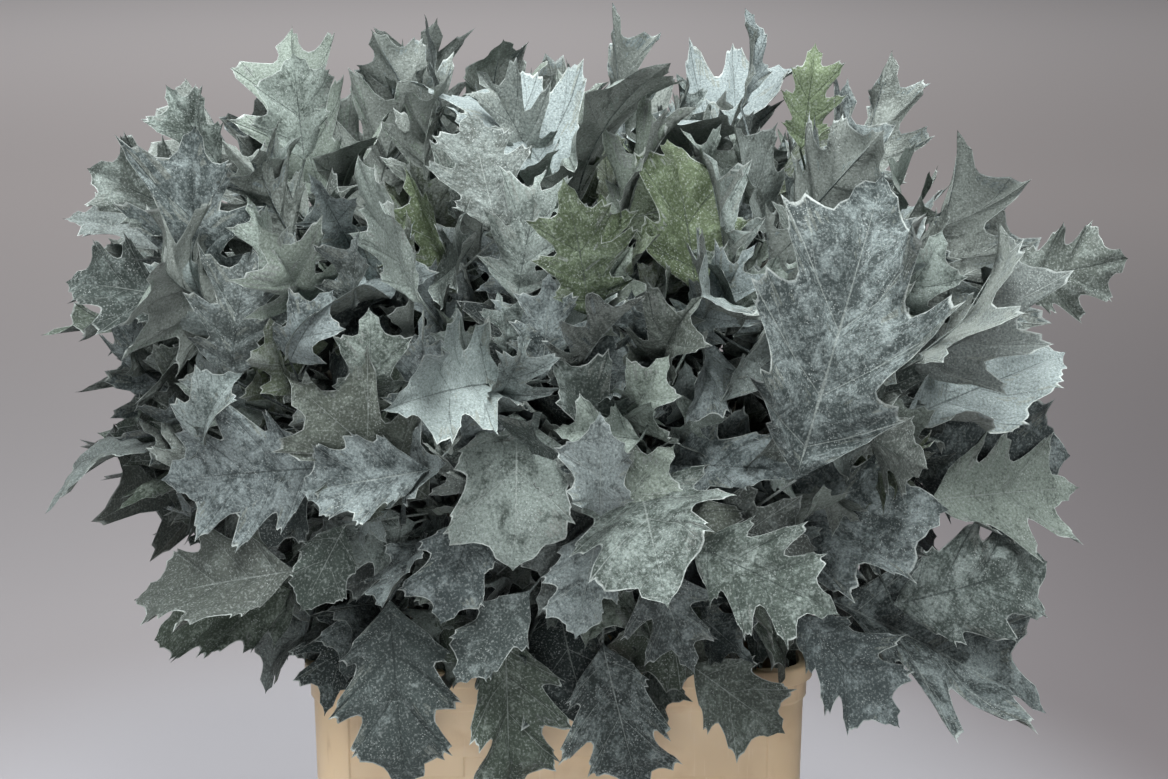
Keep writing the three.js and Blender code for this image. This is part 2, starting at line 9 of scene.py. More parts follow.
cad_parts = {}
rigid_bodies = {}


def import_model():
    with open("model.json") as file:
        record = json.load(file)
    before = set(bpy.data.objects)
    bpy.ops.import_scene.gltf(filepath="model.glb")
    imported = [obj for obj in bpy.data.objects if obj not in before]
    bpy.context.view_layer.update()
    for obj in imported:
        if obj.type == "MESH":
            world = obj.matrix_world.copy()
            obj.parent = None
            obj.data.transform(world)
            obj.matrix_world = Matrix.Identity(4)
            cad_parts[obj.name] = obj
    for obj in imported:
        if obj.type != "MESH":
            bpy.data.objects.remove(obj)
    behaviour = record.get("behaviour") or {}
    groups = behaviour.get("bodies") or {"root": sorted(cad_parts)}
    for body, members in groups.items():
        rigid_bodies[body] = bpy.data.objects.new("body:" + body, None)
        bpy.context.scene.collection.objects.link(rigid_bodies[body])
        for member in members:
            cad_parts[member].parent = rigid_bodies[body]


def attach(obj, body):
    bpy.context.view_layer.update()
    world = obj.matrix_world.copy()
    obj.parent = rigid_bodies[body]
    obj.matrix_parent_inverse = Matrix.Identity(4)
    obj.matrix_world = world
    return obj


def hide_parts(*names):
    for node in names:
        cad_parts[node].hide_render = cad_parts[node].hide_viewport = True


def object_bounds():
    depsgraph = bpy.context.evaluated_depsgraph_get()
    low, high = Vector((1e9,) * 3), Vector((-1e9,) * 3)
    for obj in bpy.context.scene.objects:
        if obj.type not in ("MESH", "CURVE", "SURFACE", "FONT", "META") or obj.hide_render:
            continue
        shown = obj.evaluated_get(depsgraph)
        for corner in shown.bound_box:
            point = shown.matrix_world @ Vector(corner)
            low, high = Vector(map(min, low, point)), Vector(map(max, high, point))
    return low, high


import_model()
cad_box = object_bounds()

# The bucket: one beige plastic moulding with rounded corners, a raised band and a lip round its mouth. Its
# long sides are recessed round a deeper, stepped panel, and its walls lean outwards so that buckets stack.
BUCKET_FOOT = (0.412, 0.304)
BUCKET_TOP = (0.424, 0.316)
BUCKET_HEIGHT = 0.350
CORNER = 0.030
CORNER_STEPS = 8
WALL = 0.005
FLOOR = 0.004
DRAFT = 0.0012  # how far a moulded step leans over its own height
ROUNDING = 0.0015  # of the mouth's edge
LIP = SimpleNamespace(out=0.007, height=0.016, rise=0.002)  # rise is the height over which it steps out
BAND = SimpleNamespace(out=0.0025, height=0.034, rise=0.003)
FOOT = SimpleNamespace(inset=0.005, height=0.014, rise=0.002, lean=0.001)
RECESS = SimpleNamespace(half_width=0.180, low=0.030, high=0.312, depth=0.0016)
PANEL = SimpleNamespace(half_width=0.143, low=0.062, high=0.252, depth=0.0032)
TAB = SimpleNamespace(half_width=0.082, low=0.240, high=0.270, depth=0.0032)
RELIEF = (RECESS, PANEL, TAB)


def mix(a, b, share):
    return a + (b - a) * share


def relief_depth(x, z):
    """How deep the long side is pressed in at a place on it."""
    deepest = 0
    for part in RELIEF:
        inside = min(part.half_width - abs(x), z - part.low, part.high - z)
        deepest = max(deepest, part.depth * min(max(inside / DRAFT, 0), 1))
    return deepest


RELIEF_EDGES = [part.half_width - lean for part in RELIEF for lean in (0, DRAFT)]
RELIEF_X = sorted({side * edge for edge in RELIEF_EDGES for side in (-1, 1)})
RELIEF_Z = sorted({z for part in RELIEF for z in (part.low, part.low + DRAFT, part.high - DRAFT, part.high)})


def bucket_ring(z, out, relief=False):
    """The outline at a height, grown or shrunk by out, from the front's left end anticlockwise."""
    half_x, half_y = (mix(BUCKET_FOOT[k], BUCKET_TOP[k], z / BUCKET_HEIGHT) / 2 + out for k in (0, 1))
    corner = CORNER + out
    flat_x, flat_y = half_x - corner, half_y - corner
    start = math.asin(max(RELIEF_X[-1] - flat_x, 0) / corner)
    quarter = []
    for x in RELIEF_X:
        beyond = max(abs(x) - flat_x, 0)
        y = flat_y + math.sqrt(corner**2 - beyond**2)
        if relief:
            y = min(y, half_y - relief_depth(x, z))
        quarter.append((x, -y))
    for i in range(1, CORNER_STEPS + 1):
        turn = mix(start, math.pi / 2, i / CORNER_STEPS)
        quarter.append((flat_x + corner * math.sin(turn), -flat_y - corner * math.cos(turn)))
    right = [(x, -y) for x, y in reversed(quarter[len(RELIEF_X):])]
    half = quarter + right
    return [(x, y, z) for x, y in half] + [(-x, -y, z) for x, y in half]


def bucket_mesh():
    """The outer wall from the foot up, the lip, the inner wall down to the floor, and both caps."""
    lip_foot, band_foot = BUCKET_HEIGHT - LIP.height, BUCKET_HEIGHT - BAND.height
    outer = [(0, -FOOT.inset - FOOT.lean), (FOOT.height, -FOOT.inset), (FOOT.height + FOOT.rise, 0)]
    above = [(band_foot, 0), (band_foot + BAND.rise, BAND.out)]
    above += [(lip_foot, BAND.out), (lip_foot + LIP.rise, LIP.out)]
    mouth = [(BUCKET_HEIGHT - ROUNDING, LIP.out), (BUCKET_HEIGHT, LIP.out - ROUNDING)]
    inner = [(BUCKET_HEIGHT, ROUNDING - WALL), (BUCKET_HEIGHT - ROUNDING, -WALL), (FLOOR, -WALL - FOOT.inset)]
    rings = [bucket_ring(z, out) for z, out in outer]
    rings += [bucket_ring(z, 0, relief=True) for z in RELIEF_Z]
    rings += [bucket_ring(z, out) for z, out in above + mouth + inner]
    around = len(rings[0])
    faces = [list(range(around))[::-1]]
    for i in range(len(rings) - 1):
        for k in range(around):
            a, b = i * around + k, i * around + (k + 1) % around
            faces.append([a, b, b + around, a + around])
    faces.append([(len(rings) - 1) * around + k for k in range(around)])
    mesh = bpy.data.meshes.new("bucket")
    mesh.from_pydata([place for ring in rings for place in ring], [], faces)
    mesh.shade_smooth()
    return mesh


def add_node(tree, kind, inputs=(), **settings):
    """Adds a node; an input is named or numbered, and is given a value or another node's output."""
    node = tree.nodes.new(kind)
    for name, value in settings.items():
        setattr(node, name, value)
    for name, value in dict(inputs).items():
        if isinstance(value, bpy.types.NodeSocket):
            tree.links.new(value, node.inputs[name])
        else:
            node.inputs[name].default_value = value
    return node


def linear(value):
    """The light of a screen value from 0 to 255, as the shader wants it."""
    return value / 255 / 12.92 if value < 11 else ((value / 255 + 0.055) / 1.055) ** 2.4


def colour(red, green, blue):
    """A colour seen as these values from 0 to 255."""
    return linear(red), linear(green), linear(blue), 1


class Finish:
    """A surface's material: each call adds a node and returns its output."""

    def __init__(self, name):
        self.material = bpy.data.materials.new(name)
        self.material.use_nodes = True
        self.tree = self.material.node_tree
        self.tree.nodes.clear()
        self.place = add_node(self.tree, "ShaderNodeTexCoord").outputs["Object"]

    def noise(self, scale, detail=3, place=None, **more):
        inputs = {"Vector": place or self.place, "Scale": scale, "Detail": detail, **more}
        return add_node(self.tree, "ShaderNodeTexNoise", inputs).outputs["Fac"]

    def cells(self, scale, feature="F1", place=None):
        inputs = {"Vector": place or self.place, "Scale": scale}
        return add_node(self.tree, "ShaderNodeTexVoronoi", inputs, feature=feature).outputs["Distance"]

    def stretched(self, x, y, z):
        """Places drawn out along an axis, for streaks."""
        return add_node(self.tree, "ShaderNodeMapping", {"Vector": self.place, "Scale": (x, y, z)}).outputs[0]

    def rise(self, value, low, high, bottom=0.0, top=1.0):
        """Goes smoothly from bottom to top as value goes from low to high."""
        inputs = {"Value": value, "From Min": low, "From Max": high, "To Min": bottom, "To Max": top}
        return add_node(self.tree, "ShaderNodeMapRange", inputs, interpolation_type="SMOOTHSTEP").outputs[0]

    def maths(self, operation, first, second=0.0):
        return add_node(self.tree, "ShaderNodeMath", {0: first, 1: second}, operation=operation).outputs[0]

    def times(self, first, second):
        return self.maths("MULTIPLY", first, second)

    def plus(self, first, second):
        return self.maths("ADD", first, second)

    def less(self, first, second):
        return self.maths("SUBTRACT", first, second)

    def tint(self, share, first, second):
        """From the first colour to the second. The mix node takes its colours in sockets 6 and 7."""
        inputs = {0: share, 6: first, 7: second}
        return add_node(self.tree, "ShaderNodeMix", inputs, data_type="RGBA").outputs[2]

    def done(self, base, roughness, height, bump=0.3, depth=0.001, **own):
        """The shader itself; own are values of its own sockets."""
        relief = {"Height": height, "Strength": bump, "Distance": depth}
        bumped = add_node(self.tree, "ShaderNodeBump", relief)
        inputs = {"Base Color": base, "Roughness": roughness, "Normal": bumped.outputs[0], **own}
        shader = add_node(self.tree, "ShaderNodeBsdfPrincipled", inputs)
        add_node(self.tree, "ShaderNodeOutputMaterial", {"Surface": shader.outputs[0]})
        return self.material


def bucket_plastic():
    """Beige plastic, a little cloudy, with darker blotches, brown scuffs and pale scratches."""
    f = Finish("bucket_plastic")
    cloud = f.rise(f.noise(7, 4), 0.35, 0.7)
    base = f.tint(cloud, colour(226, 202, 166), colour(236, 214, 180))
    base = f.tint(f.rise(f.noise(26, 6), 0.52, 0.75, 0, 0.5), base, colour(208, 178, 140))
    streaks = f.noise(1, 5, place=f.stretched(90, 90, 12))
    scuffs = f.times(f.rise(streaks, 0.58, 0.72), f.rise(f.noise(9, 3), 0.52, 0.62))
    base = f.tint(f.times(scuffs, 0.45), base, colour(160, 128, 94))
    scratches = f.rise(f.noise(1, 2, place=f.stretched(260, 260, 14)), 0.66, 0.7)
    base = f.tint(f.times(scratches, 0.35), base, colour(238, 219, 192))
    grain = f.plus(f.noise(900, 2), f.times(f.noise(60, 3), 2.0))
    roughness = f.rise(f.noise(40, 4), 0.3, 0.7, 0.34, 0.5)
    own = {"Subsurface Weight": 0.08, "Subsurface Radius": (0.01, 0.006, 0.003)}
    return f.done(base, roughness, f.plus(grain, scuffs), 0.12, 0.0006, **own)


def place_piece(name, mesh, slot, *nodes):
    """Puts a finished mesh in the scene as a piece that rides on the one body and stands for CAD nodes."""
    piece = bpy.data.objects.new(name, mesh)
    bpy.context.scene.collection.objects.link(piece)
    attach(piece, "root")
    if nodes:
        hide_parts(*nodes)
    return piece


tub = bucket_mesh()
tub.materials.append(bucket_plastic())
tub_piece = place_piece("flower_bucket", tub, "bucket", "bucket")
soften = tub_piece.modifiers.new("moulded_edges", "BEVEL")
soften.width = 0.0006
soften.segments = 2
soften.limit_method = "ANGLE"
soften.angle_limit = math.radians(30)

# The stems: 33 cut oak shoots that stand on the bucket's floor, lean out through its mouth and end at the
# crown. Their growth rule is the solids' own, in millimetres. The bark is grey-brown under a thin white coat.
MM = 0.001  # metres in a millimetre
BRANCH_COUNT = 33
GOLDEN_ANGLE = math.pi * (3 - math.sqrt(5))
FOOT_Z = FLOOR / MM + 0.3  # just clear of the bucket's floor
MOUTH_Z = BUCKET_HEIGHT / MM - 40  # about where the shoots start to spread
FOOT_SPREAD = (148, 97)
MOUTH_SPREAD = (158, 108)
CROWN_CENTRE_Z = 582
CROWN_REACH = (292, 216, 158)
CROWN_BULGE = 2.5
CROWN_LOWEST = 135  # degrees from straight up
STEM_RADII = (4.4, 3.8, 3.2, 2.6, 1.9)


def unit(v):
    return v / math.sqrt(v @ v)


def between(values, share):
    """The value at a share of the way along evenly spaced values."""
    spans = len(values) - 1
    i = min(int(share * spans), spans - 1)
    return mix(values[i], values[i + 1], share * spans - i)


def crown_point(lean, turn):
    """The place on the bulging crown at a lean from upright and a turn round it, and the way there."""
    out = np.array([math.sin(lean) * math.cos(turn), math.sin(lean) * math.sin(turn), math.cos(lean)])
    bulge = (np.abs(out) ** CROWN_BULGE).sum() ** (-1 / CROWN_BULGE)
    return out * bulge * CROWN_REACH + (0, 0, CROWN_CENTRE_Z), out


class Stem:
    """One shoot: its bends from foot to tip, and where a share of its length lies."""

    def __init__(self, number):
        self.number = number
        self.share = (number + 0.5) / BRANCH_COUNT
        turn = number * GOLDEN_ANGLE
        c, s = math.cos(turn), math.sin(turn)
        spread = math.sqrt(self.share)
        tip, _ = crown_point(math.acos(1 - (1 - math.cos(math.radians(CROWN_LOWEST))) * self.share), turn)
        foot = np.array([FOOT_SPREAD[0] * spread * c, FOOT_SPREAD[1] * spread * s, FOOT_Z])
        mouth = np.array([MOUTH_SPREAD[0] * spread * c, MOUTH_SPREAD[1] * spread * s, MOUTH_Z])
        before = mix(mouth, tip, np.array([0.35, 0.35, 0.8])) + (0, 0, 30)
        t = (np.arange(len(STEM_RADII)) / (len(STEM_RADII) - 1))[:, None] ** 0.8
        u = 1 - t
        self.path = u**3 * foot + 3 * u * u * t * mouth + 3 * u * t * t * before + t**3 * tip
        self.outward = np.array([c, s, 0])

    def at(self, share):
        return between(self.path, share)

    def radius(self, share):
        return between(STEM_RADII, share)


def bark():
    """Grey-brown young bark, finely ridged along the shoot, with white powder in patches and pale pores."""
    f = Finish("shoot_bark")
    ridges = f.noise(1, 4, place=f.stretched(420, 420, 60))
    base = f.tint(f.rise(ridges, 0.35, 0.7), colour(70, 66, 56), colour(112, 108, 94))
    powder = f.rise(f.noise(85, 5), 0.44, 0.62)
    base = f.tint(f.times(powder, 0.7), base, colour(158, 164, 158))
    pores = f.rise(f.cells(170), 0.16, 0.08)
    base = f.tint(f.times(pores, 0.6), base, colour(178, 176, 160))
    height = f.plus(ridges, f.times(pores, 0.6))
    return f.done(base, f.rise(powder, 0, 1, 0.7, 0.92), height, 0.6, 0.0008)


def named_tree(name, *inputs):
    """An empty Geometry Nodes tree with a geometry in and out and these other inputs: name, socket kind."""
    tree = bpy.data.node_groups.new(name, "GeometryNodeTree")
    for label, kind in (("Geometry", "NodeSocketGeometry"), *inputs):
        tree.interface.new_socket(label, in_out="INPUT", socket_type=kind)
    tree.interface.new_socket("Geometry", in_out="OUTPUT", socket_type="NodeSocketGeometry")
    return tree, tree.nodes.new("NodeGroupInput").outputs


def finish_tree(tree, geometry, material):
    """Ends a tree: its instances made real, with their material set."""
    real = add_node(tree, "GeometryNodeRealizeInstances", {"Geometry": geometry})
    dressed = add_node(tree, "GeometryNodeSetMaterial", {"Geometry": real.outputs[0], "Material": material})
    add_node(tree, "NodeGroupOutput", {0: dressed.outputs[0]})
    return tree


def grown(holder, tree, values):
    """The mesh that a tree makes of an object's own shape with these inputs."""
    modifier = holder.modifiers.new(tree.name, "NODES")
    modifier.node_group = tree
    for socket in tree.interface.items_tree:
        if socket.in_out == "INPUT" and socket.name in values:
            modifier[socket.identifier] = values[socket.name]
    evaluated = holder.evaluated_get(bpy.context.evaluated_depsgraph_get())
    mesh = bpy.data.meshes.new_from_object(evaluated)
    holder.modifiers.remove(modifier)
    bpy.data.objects.remove(holder)
    return mesh


def shoot_tree():
    """A round, tapering shoot along a curve, with pointed buds turned round it one after the other."""
    tree, given = named_tree(
        "shoot",
        ("Sides", "NodeSocketInt"),
        ("Bend Radius", "NodeSocketFloat"),
        ("Bud Spacing", "NodeSocketFloat"),
        ("Bud Size", "NodeSocketFloat"),
        ("Material", "NodeSocketMaterial"),
    )
    bends = {"Curve": given["Geometry"], "Count": 4, "Radius": given["Bend Radius"], "Limit Radius": True}
    rounded = add_node(tree, "GeometryNodeFilletCurve", bends, mode="POLY")
    girth = add_node(tree, "GeometryNodeInputRadius").outputs[0]
    circle = {"Resolution": given["Sides"], "Radius": 1.0}
    profile = add_node(tree, "GeometryNodeCurvePrimitiveCircle", circle)
    tube = add_node(tree, "GeometryNodeCurveToMesh",
                    {"Curve": rounded.outputs[0], "Profile Curve": profile.outputs[0], "Scale": girth,
                     "Fill Caps": True})
    along = add_node(tree, "GeometryNodeCurveToPoints",
                     {"Curve": rounded.outputs[0], "Length": given["Bud Spacing"]}, mode="LENGTH")
    order = add_node(tree, "GeometryNodeInputIndex").outputs[0]
    turn = add_node(tree, "ShaderNodeMath", {0: order, 1: GOLDEN_ANGLE}, operation="MULTIPLY").outputs[0]
    spin = add_node(tree, "FunctionNodeAxisAngleToRotation", {"Axis": (0, 0, 1), "Angle": turn})
    ways = {"Rotation": along.outputs["Rotation"], "Rotate By": spin.outputs[0]}
    turned = add_node(tree, "FunctionNodeRotateRotation", ways, rotation_space="LOCAL")
    cone = {"Vertices": 6, "Side Segments": 3, "Fill Segments": 1}
    cone |= {"Radius Top": 0.04, "Radius Bottom": 0.34, "Depth": 1.0}
    bud = add_node(tree, "GeometryNodeMeshCone", cone)
    lean = {"Geometry": bud.outputs[0], "Translation": (0.75, 0, 0), "Rotation": (0, math.radians(35), 0)}
    leaned = add_node(tree, "GeometryNodeTransform", lean)
    buds = add_node(tree, "GeometryNodeInstanceOnPoints",
                    {"Points": along.outputs[0], "Instance": leaned.outputs[0], "Rotation": turned.outputs[0],
                     "Scale": given["Bud Size"]})
    joined = add_node(tree, "GeometryNodeJoinGeometry")
    for part in (buds.outputs[0], tube.outputs[0]):
        tree.links.new(part, joined.inputs[0])
    return finish_tree(tree, joined.outputs[0], given["Material"])


def shoot_curve(stem):
    """The shoot's middle line as a poly curve in metres, with its girth at each bend."""
    curve = bpy.data.curves.new("shoot", "CURVE")
    curve.dimensions = "3D"
    spline = curve.splines.new("POLY")
    spline.points.add(len(stem.path) - 1)
    for point, place, radius in zip(spline.points, stem.path, STEM_RADII):
        point.co = (*(place * MM), 1)
        point.radius = radius * MM
    holder = bpy.data.objects.new("shoot", curve)
    bpy.context.scene.collection.objects.link(holder)
    return holder


stems = [Stem(number) for number in range(BRANCH_COUNT)]
shoot_rule = shoot_tree()
shoot_bark = bark()
shoot_values = {"Sides": 9, "Bend Radius": 0.05, "Bud Spacing": 0.034, "Bud Size": 0.0055}
shoot_values["Material"] = shoot_bark
shoots = [grown(shoot_curve(stem), shoot_rule, shoot_values) for stem in stems]

# The leaves' places: dried red oak leaves with five or seven spine-tipped lobes, on thin stalks. They grow by
# the solids' rule, leaf by leaf, and as plain blades none crosses another. Their look comes further down.
LEAVES_PER_BRANCH = 9
LARGE_LEAVES = 2  # of each branch, nearest its tip, which have seven lobes
LEAF_LENGTH = 142
LARGE_SIZE, SMALL_SIZE = (0.86, 1.32), (0.66, 0.98)  # of that length
LEAF_SPREAD = {  # in the order of their draws
    "width": (0.92, 1.22),
    "bays": (1, 1.7),
    "bend": (-0.35, 1.25),
    "fold": (0.02, 0.5),
    "twist": (-0.6, 0.6),
    "wave": (-0.2, 0.2),
}
LOBE_SPREAD = (0.86, 1.14)
STALK_LENGTH = (16, 34)
BLADE_THICKNESS = 0.9
STALK_WIDTH = 2.6
WORD = 0xFFFFFFFF
CROWD_ROOM = 40000  # faces, or edges, that a crowd holds at most


def draws_from(seed):
    """Draws from 0 to 1 that are the same on every run."""
    state = seed & WORD

    def draw():
        nonlocal state
        state = (state + 0x6D2B79F5) & WORD
        t = (state ^ (state >> 15)) * (state | 1) & WORD
        t ^= (t + ((t ^ (t >> 7)) * (t | 61) & WORD)) & WORD
        return (t ^ (t >> 14)) / 4294967296

    return draw


def vein(start, degrees, reach, tip):
    """A side vein: where it leaves the midrib, at what angle, how far it goes, and to a tip or a bay."""
    return SimpleNamespace(start=start, angle=math.radians(degrees), reach=reach, tip=tip)


SEVEN_LOBES = [
    vein(0.11, 60, 0.31, True),
    vein(0.2, 56, 0.18, False),
    vein(0.27, 52, 0.45, True),
    vein(0.39, 47, 0.19, False),
    vein(0.47, 42, 0.42, True),
    vein(0.64, 35, 0.16, False),
]
FIVE_LOBES = [
    vein(0.15, 58, 0.37, True),
    vein(0.29, 52, 0.2, False),
    vein(0.4, 45, 0.46, True),
    vein(0.61, 36, 0.17, False),
]


def leaf_form(draw, large):
    """The shape of one leaf: its size, lobes, bend, fold, twist, wave and stalk."""
    form = SimpleNamespace(lobes=SEVEN_LOBES if large else FIVE_LOBES)
    form.length = LEAF_LENGTH * mix(*(LARGE_SIZE if large else SMALL_SIZE), draw())
    for name, span in LEAF_SPREAD.items():
        setattr(form, name, mix(*span, draw()))
    form.root = np.array([-mix(*STALK_LENGTH, draw()), 0, 0])
    form.reaches = [
        [v.reach * (mix(*LOBE_SPREAD, draw()) if v.tip else form.bays) for v in form.lobes] for _ in (-1, 1)
    ]
    return form


def blade_points(form, x, y):
    """Where flat blade places lie once the blade is bent, folded, twisted and waved, and its way up there."""
    x, y = np.asarray(x, float), np.asarray(y, float)
    share = x / form.length
    bend = form.bend if abs(form.bend) >= 0.01 else 0.01
    arc = bend * share
    radius = form.length / bend
    zero = np.zeros_like(x)
    middle = np.stack([radius * np.sin(arc), zero, -radius * (1 - np.cos(arc))], -1)
    up = np.stack([np.sin(arc), zero, np.cos(arc)], -1)
    roll = (form.twist * share)[:, None]
    level = np.array([0.0, 1.0, 0.0])
    across = level * np.cos(roll) + up * np.sin(roll)
    above = -level * np.sin(roll) + up * np.cos(roll)
    out = np.abs(y)
    lift = out * math.sin(form.fold) + form.wave * out * out / (0.3 * form.length)
    at = middle + across * (y * math.cos(form.fold))[:, None] + above * lift[:, None]
    normal = above * math.cos(form.fold) - across * (np.sign(y) * math.sin(form.fold))[:, None]
    normal /= np.sqrt((normal**2).sum(-1))[:, None]
    return at, normal


def margin_point(form, v, share, growth=0.0):
    """The flat place at the end of a side vein."""
    reach = share * form.length + (growth if v.tip else 0)
    return v.start * form.length + reach * math.cos(v.angle), reach * math.sin(v.angle) * form.width


def placed(leaf, points):
    """A leaf's own points put where the leaf is."""
    x, y, z = leaf.axes
    return leaf.origin + points[:, :1] * x + points[:, 1:2] * y + points[:, 2:] * z


room_faces = {}


def blade_faces(count):
    """The faces of a plain blade with this many side veins on each side, and of its stalk."""
    faces = []
    index = 9
    for side in (-1, 1):
        outline = [(3 if side < 0 else 4, 5)]
        for number in range(count):
            tip = number % 2 == 0
            outline.append((index, index) if tip else (index, index + 1))
            index += 1 if tip else 2
        outline.append((0, 0))

        def turn(a, b, c):
            faces.append((a, b, c) if side < 0 else (a, c, b))

        inner = 0
        for i in range(1, len(outline)):
            a, b = outline[i - 1], outline[i]
            if a[0] != a[1]:
                turn(a[0], a[1], b[1])
            if b[0] != b[1]:
                turn(a[0], b[1], b[0])
            if b[0] == b[1] and i < len(outline) - 1:
                c = outline[i + 1]
                turn(a[0], b[0], c[0])
                turn(a[1], c[1], b[1])
            else:
                n = outline[inner]
                turn(1, n[0], b[0])
                turn(2, b[1], n[1])
                inner = i
    faces += [(1, 4, 3), (3, 4, 7), (3, 7, 6), (4, 5, 8), (4, 8, 7), (3, 8, 5), (3, 6, 8), (7, 8, 6)]
    return np.array(faces)


def leaf_room(leaf, thickness, growth, cut):
    """The room that a leaf takes: a plain blade and stalk of this thickness, tips grown, stalk cut short."""
    form = leaf.form
    flat = [(form.length + growth, 0), (0.5 * form.length, 0)]
    for side, reaches in zip((-1, 1), form.reaches):
        for v, share in zip(form.lobes, reaches):
            x, y = margin_point(form, v, share, growth)
            flat.append((x, side * y))
    at, normal = blade_points(form, [p[0] for p in flat], [p[1] for p in flat])
    upper, lower = at + normal * (thickness / 2), at - normal * (thickness / 2)
    stalk = (STALK_WIDTH + thickness - BLADE_THICKNESS) / 2
    section = np.array([[0, -stalk, stalk / 2], [0, stalk, stalk / 2], [0, 0, -stalk]])
    root = form.root * (1 - cut / math.sqrt(form.root @ form.root))
    points = [at[0], upper[1], lower[1], *section, *(section + root)]
    for k in range(2, len(flat)):
        tip = form.lobes[(k - 2) % len(form.lobes)].tip
        points += [at[k]] if tip else [upper[k], lower[k]]
    count = len(form.lobes)
    if count not in room_faces:
        room_faces[count] = blade_faces(count)
    return placed(leaf, np.array(points)), room_faces[count]


def ring_faces(rings, count):
    """The faces of a stack of rings with both ends closed."""
    faces = []
    for i in range(rings - 1):
        for k in range(count):
            a, b = i * count + k, i * count + (k + 1) % count
            faces += [(a, b, b + count), (a, b + count, a + count)]
    last = (rings - 1) * count
    for k in range(2, count):
        faces += [(0, k, k - 1), (last, last + k - 1, last + k)]
    return np.array(faces)


def circle_round(at, across, other, radius, sides):
    """Places in a circle round a place."""
    turns = [2 * math.pi * k / sides for k in range(sides)]
    return [at + (across * math.cos(turn) + other * math.sin(turn)) * radius for turn in turns]


def stick_room(path, radii, sides):
    """The room that a stem takes."""
    points = []
    for i, at in enumerate(path):
        ahead = path[min(i + 1, len(path) - 1)] - path[max(i - 1, 0)]
        along = np.array([0, 0, 1.0]) if i == 0 else unit(ahead)
        across = unit(np.cross(along, [0.3, 1, 0]))
        other = np.cross(along, across)
        points += circle_round(at, across, other, radii[i], sides)
    return np.array(points), ring_faces(len(path), sides)


def box_room(low, high):
    """The room inside a box."""
    corners = ((low[0], low[1]), (high[0], low[1]), (high[0], high[1]), (low[0], high[1]))
    points = [(x, y, z) for z in (low[2], high[2]) for x, y in corners]
    return np.array(points, float), ring_faces(2, 4)


room_edges = {}


def shape_of(points, faces):
    """A room's points, its faces' corners and both ends of its edges."""
    key = (len(points), len(faces))
    if key not in room_edges:
        pairs = {tuple(sorted((int(f[k]), int(f[(k + 1) % 3])))) for f in faces for k in range(3)}
        room_edges[key] = np.array(sorted(pairs))
    edges = room_edges[key]
    start, end = points[edges[:, 0]], points[edges[:, 1]]
    return SimpleNamespace(points=points, corners=points[faces], start=start, end=end)


def face_planes(corners):
    """The normal of each triangle and how far along it the triangle lies."""
    normals = np.cross(corners[:, 1] - corners[:, 0], corners[:, 2] - corners[:, 0])
    return normals, (normals * corners[:, 0]).sum(-1)


def pierced(corners, normals, offsets, start, end):
    """How often one of the edges goes through one of the faces."""
    first = normals @ start.T - offsets[:, None]
    second = normals @ end.T - offsets[:, None]
    face, edge = np.nonzero((first > 0) != (second > 0))
    if not len(face):
        return 0
    share = first[face, edge] / (first[face, edge] - second[face, edge])
    hit = start[edge] + (end[edge] - start[edge]) * share[:, None]
    inside = np.ones(len(face), bool)
    for m in range(3):
        corner = corners[face, m]
        side = np.cross(corners[face, (m + 1) % 3] - corner, hit - corner)
        inside &= (side * normals[face]).sum(-1) >= 0
    return int(inside.sum())


class Crowd:
    """The faces and edges that are there, and how often another shape crosses them."""

    def __init__(self, most=CROWD_ROOM):
        self.faces, self.edges = 0, 0
        self.corners, self.normals, self.offsets = np.zeros((most, 3, 3)), np.zeros((most, 3)), np.zeros(most)
        self.start, self.end = np.zeros((most, 3)), np.zeros((most, 3))
        self.face_low, self.face_high = np.zeros((most, 3)), np.zeros((most, 3))
        self.edge_low, self.edge_high = np.zeros((most, 3)), np.zeros((most, 3))

    def add(self, shape):
        self.add_faces(shape.corners)
        self.add_edges(shape.start, shape.end)

    def add_faces(self, corners):
        span = slice(self.faces, self.faces + len(corners))
        self.corners[span] = corners
        self.normals[span], self.offsets[span] = face_planes(corners)
        self.face_low[span], self.face_high[span] = corners.min(1), corners.max(1)
        self.faces += len(corners)

    def add_edges(self, start, end):
        span = slice(self.edges, self.edges + len(start))
        self.start[span], self.end[span] = start, end
        self.edge_low[span], self.edge_high[span] = np.minimum(start, end), np.maximum(start, end)
        self.edges += len(start)

    def crossings(self, shape):
        low, high = shape.points.min(0), shape.points.max(0)
        near = ((self.face_low[:self.faces] <= high) & (low <= self.face_high[:self.faces])).all(1)
        near = np.nonzero(near)[0]
        hits = pierced(self.corners[near], self.normals[near], self.offsets[near], shape.start, shape.end)
        near = ((self.edge_low[:self.edges] <= high) & (low <= self.edge_high[:self.edges])).all(1)
        near = np.nonzero(near)[0]
        return hits + pierced(shape.corners, *face_planes(shape.corners), self.start[near], self.end[near])


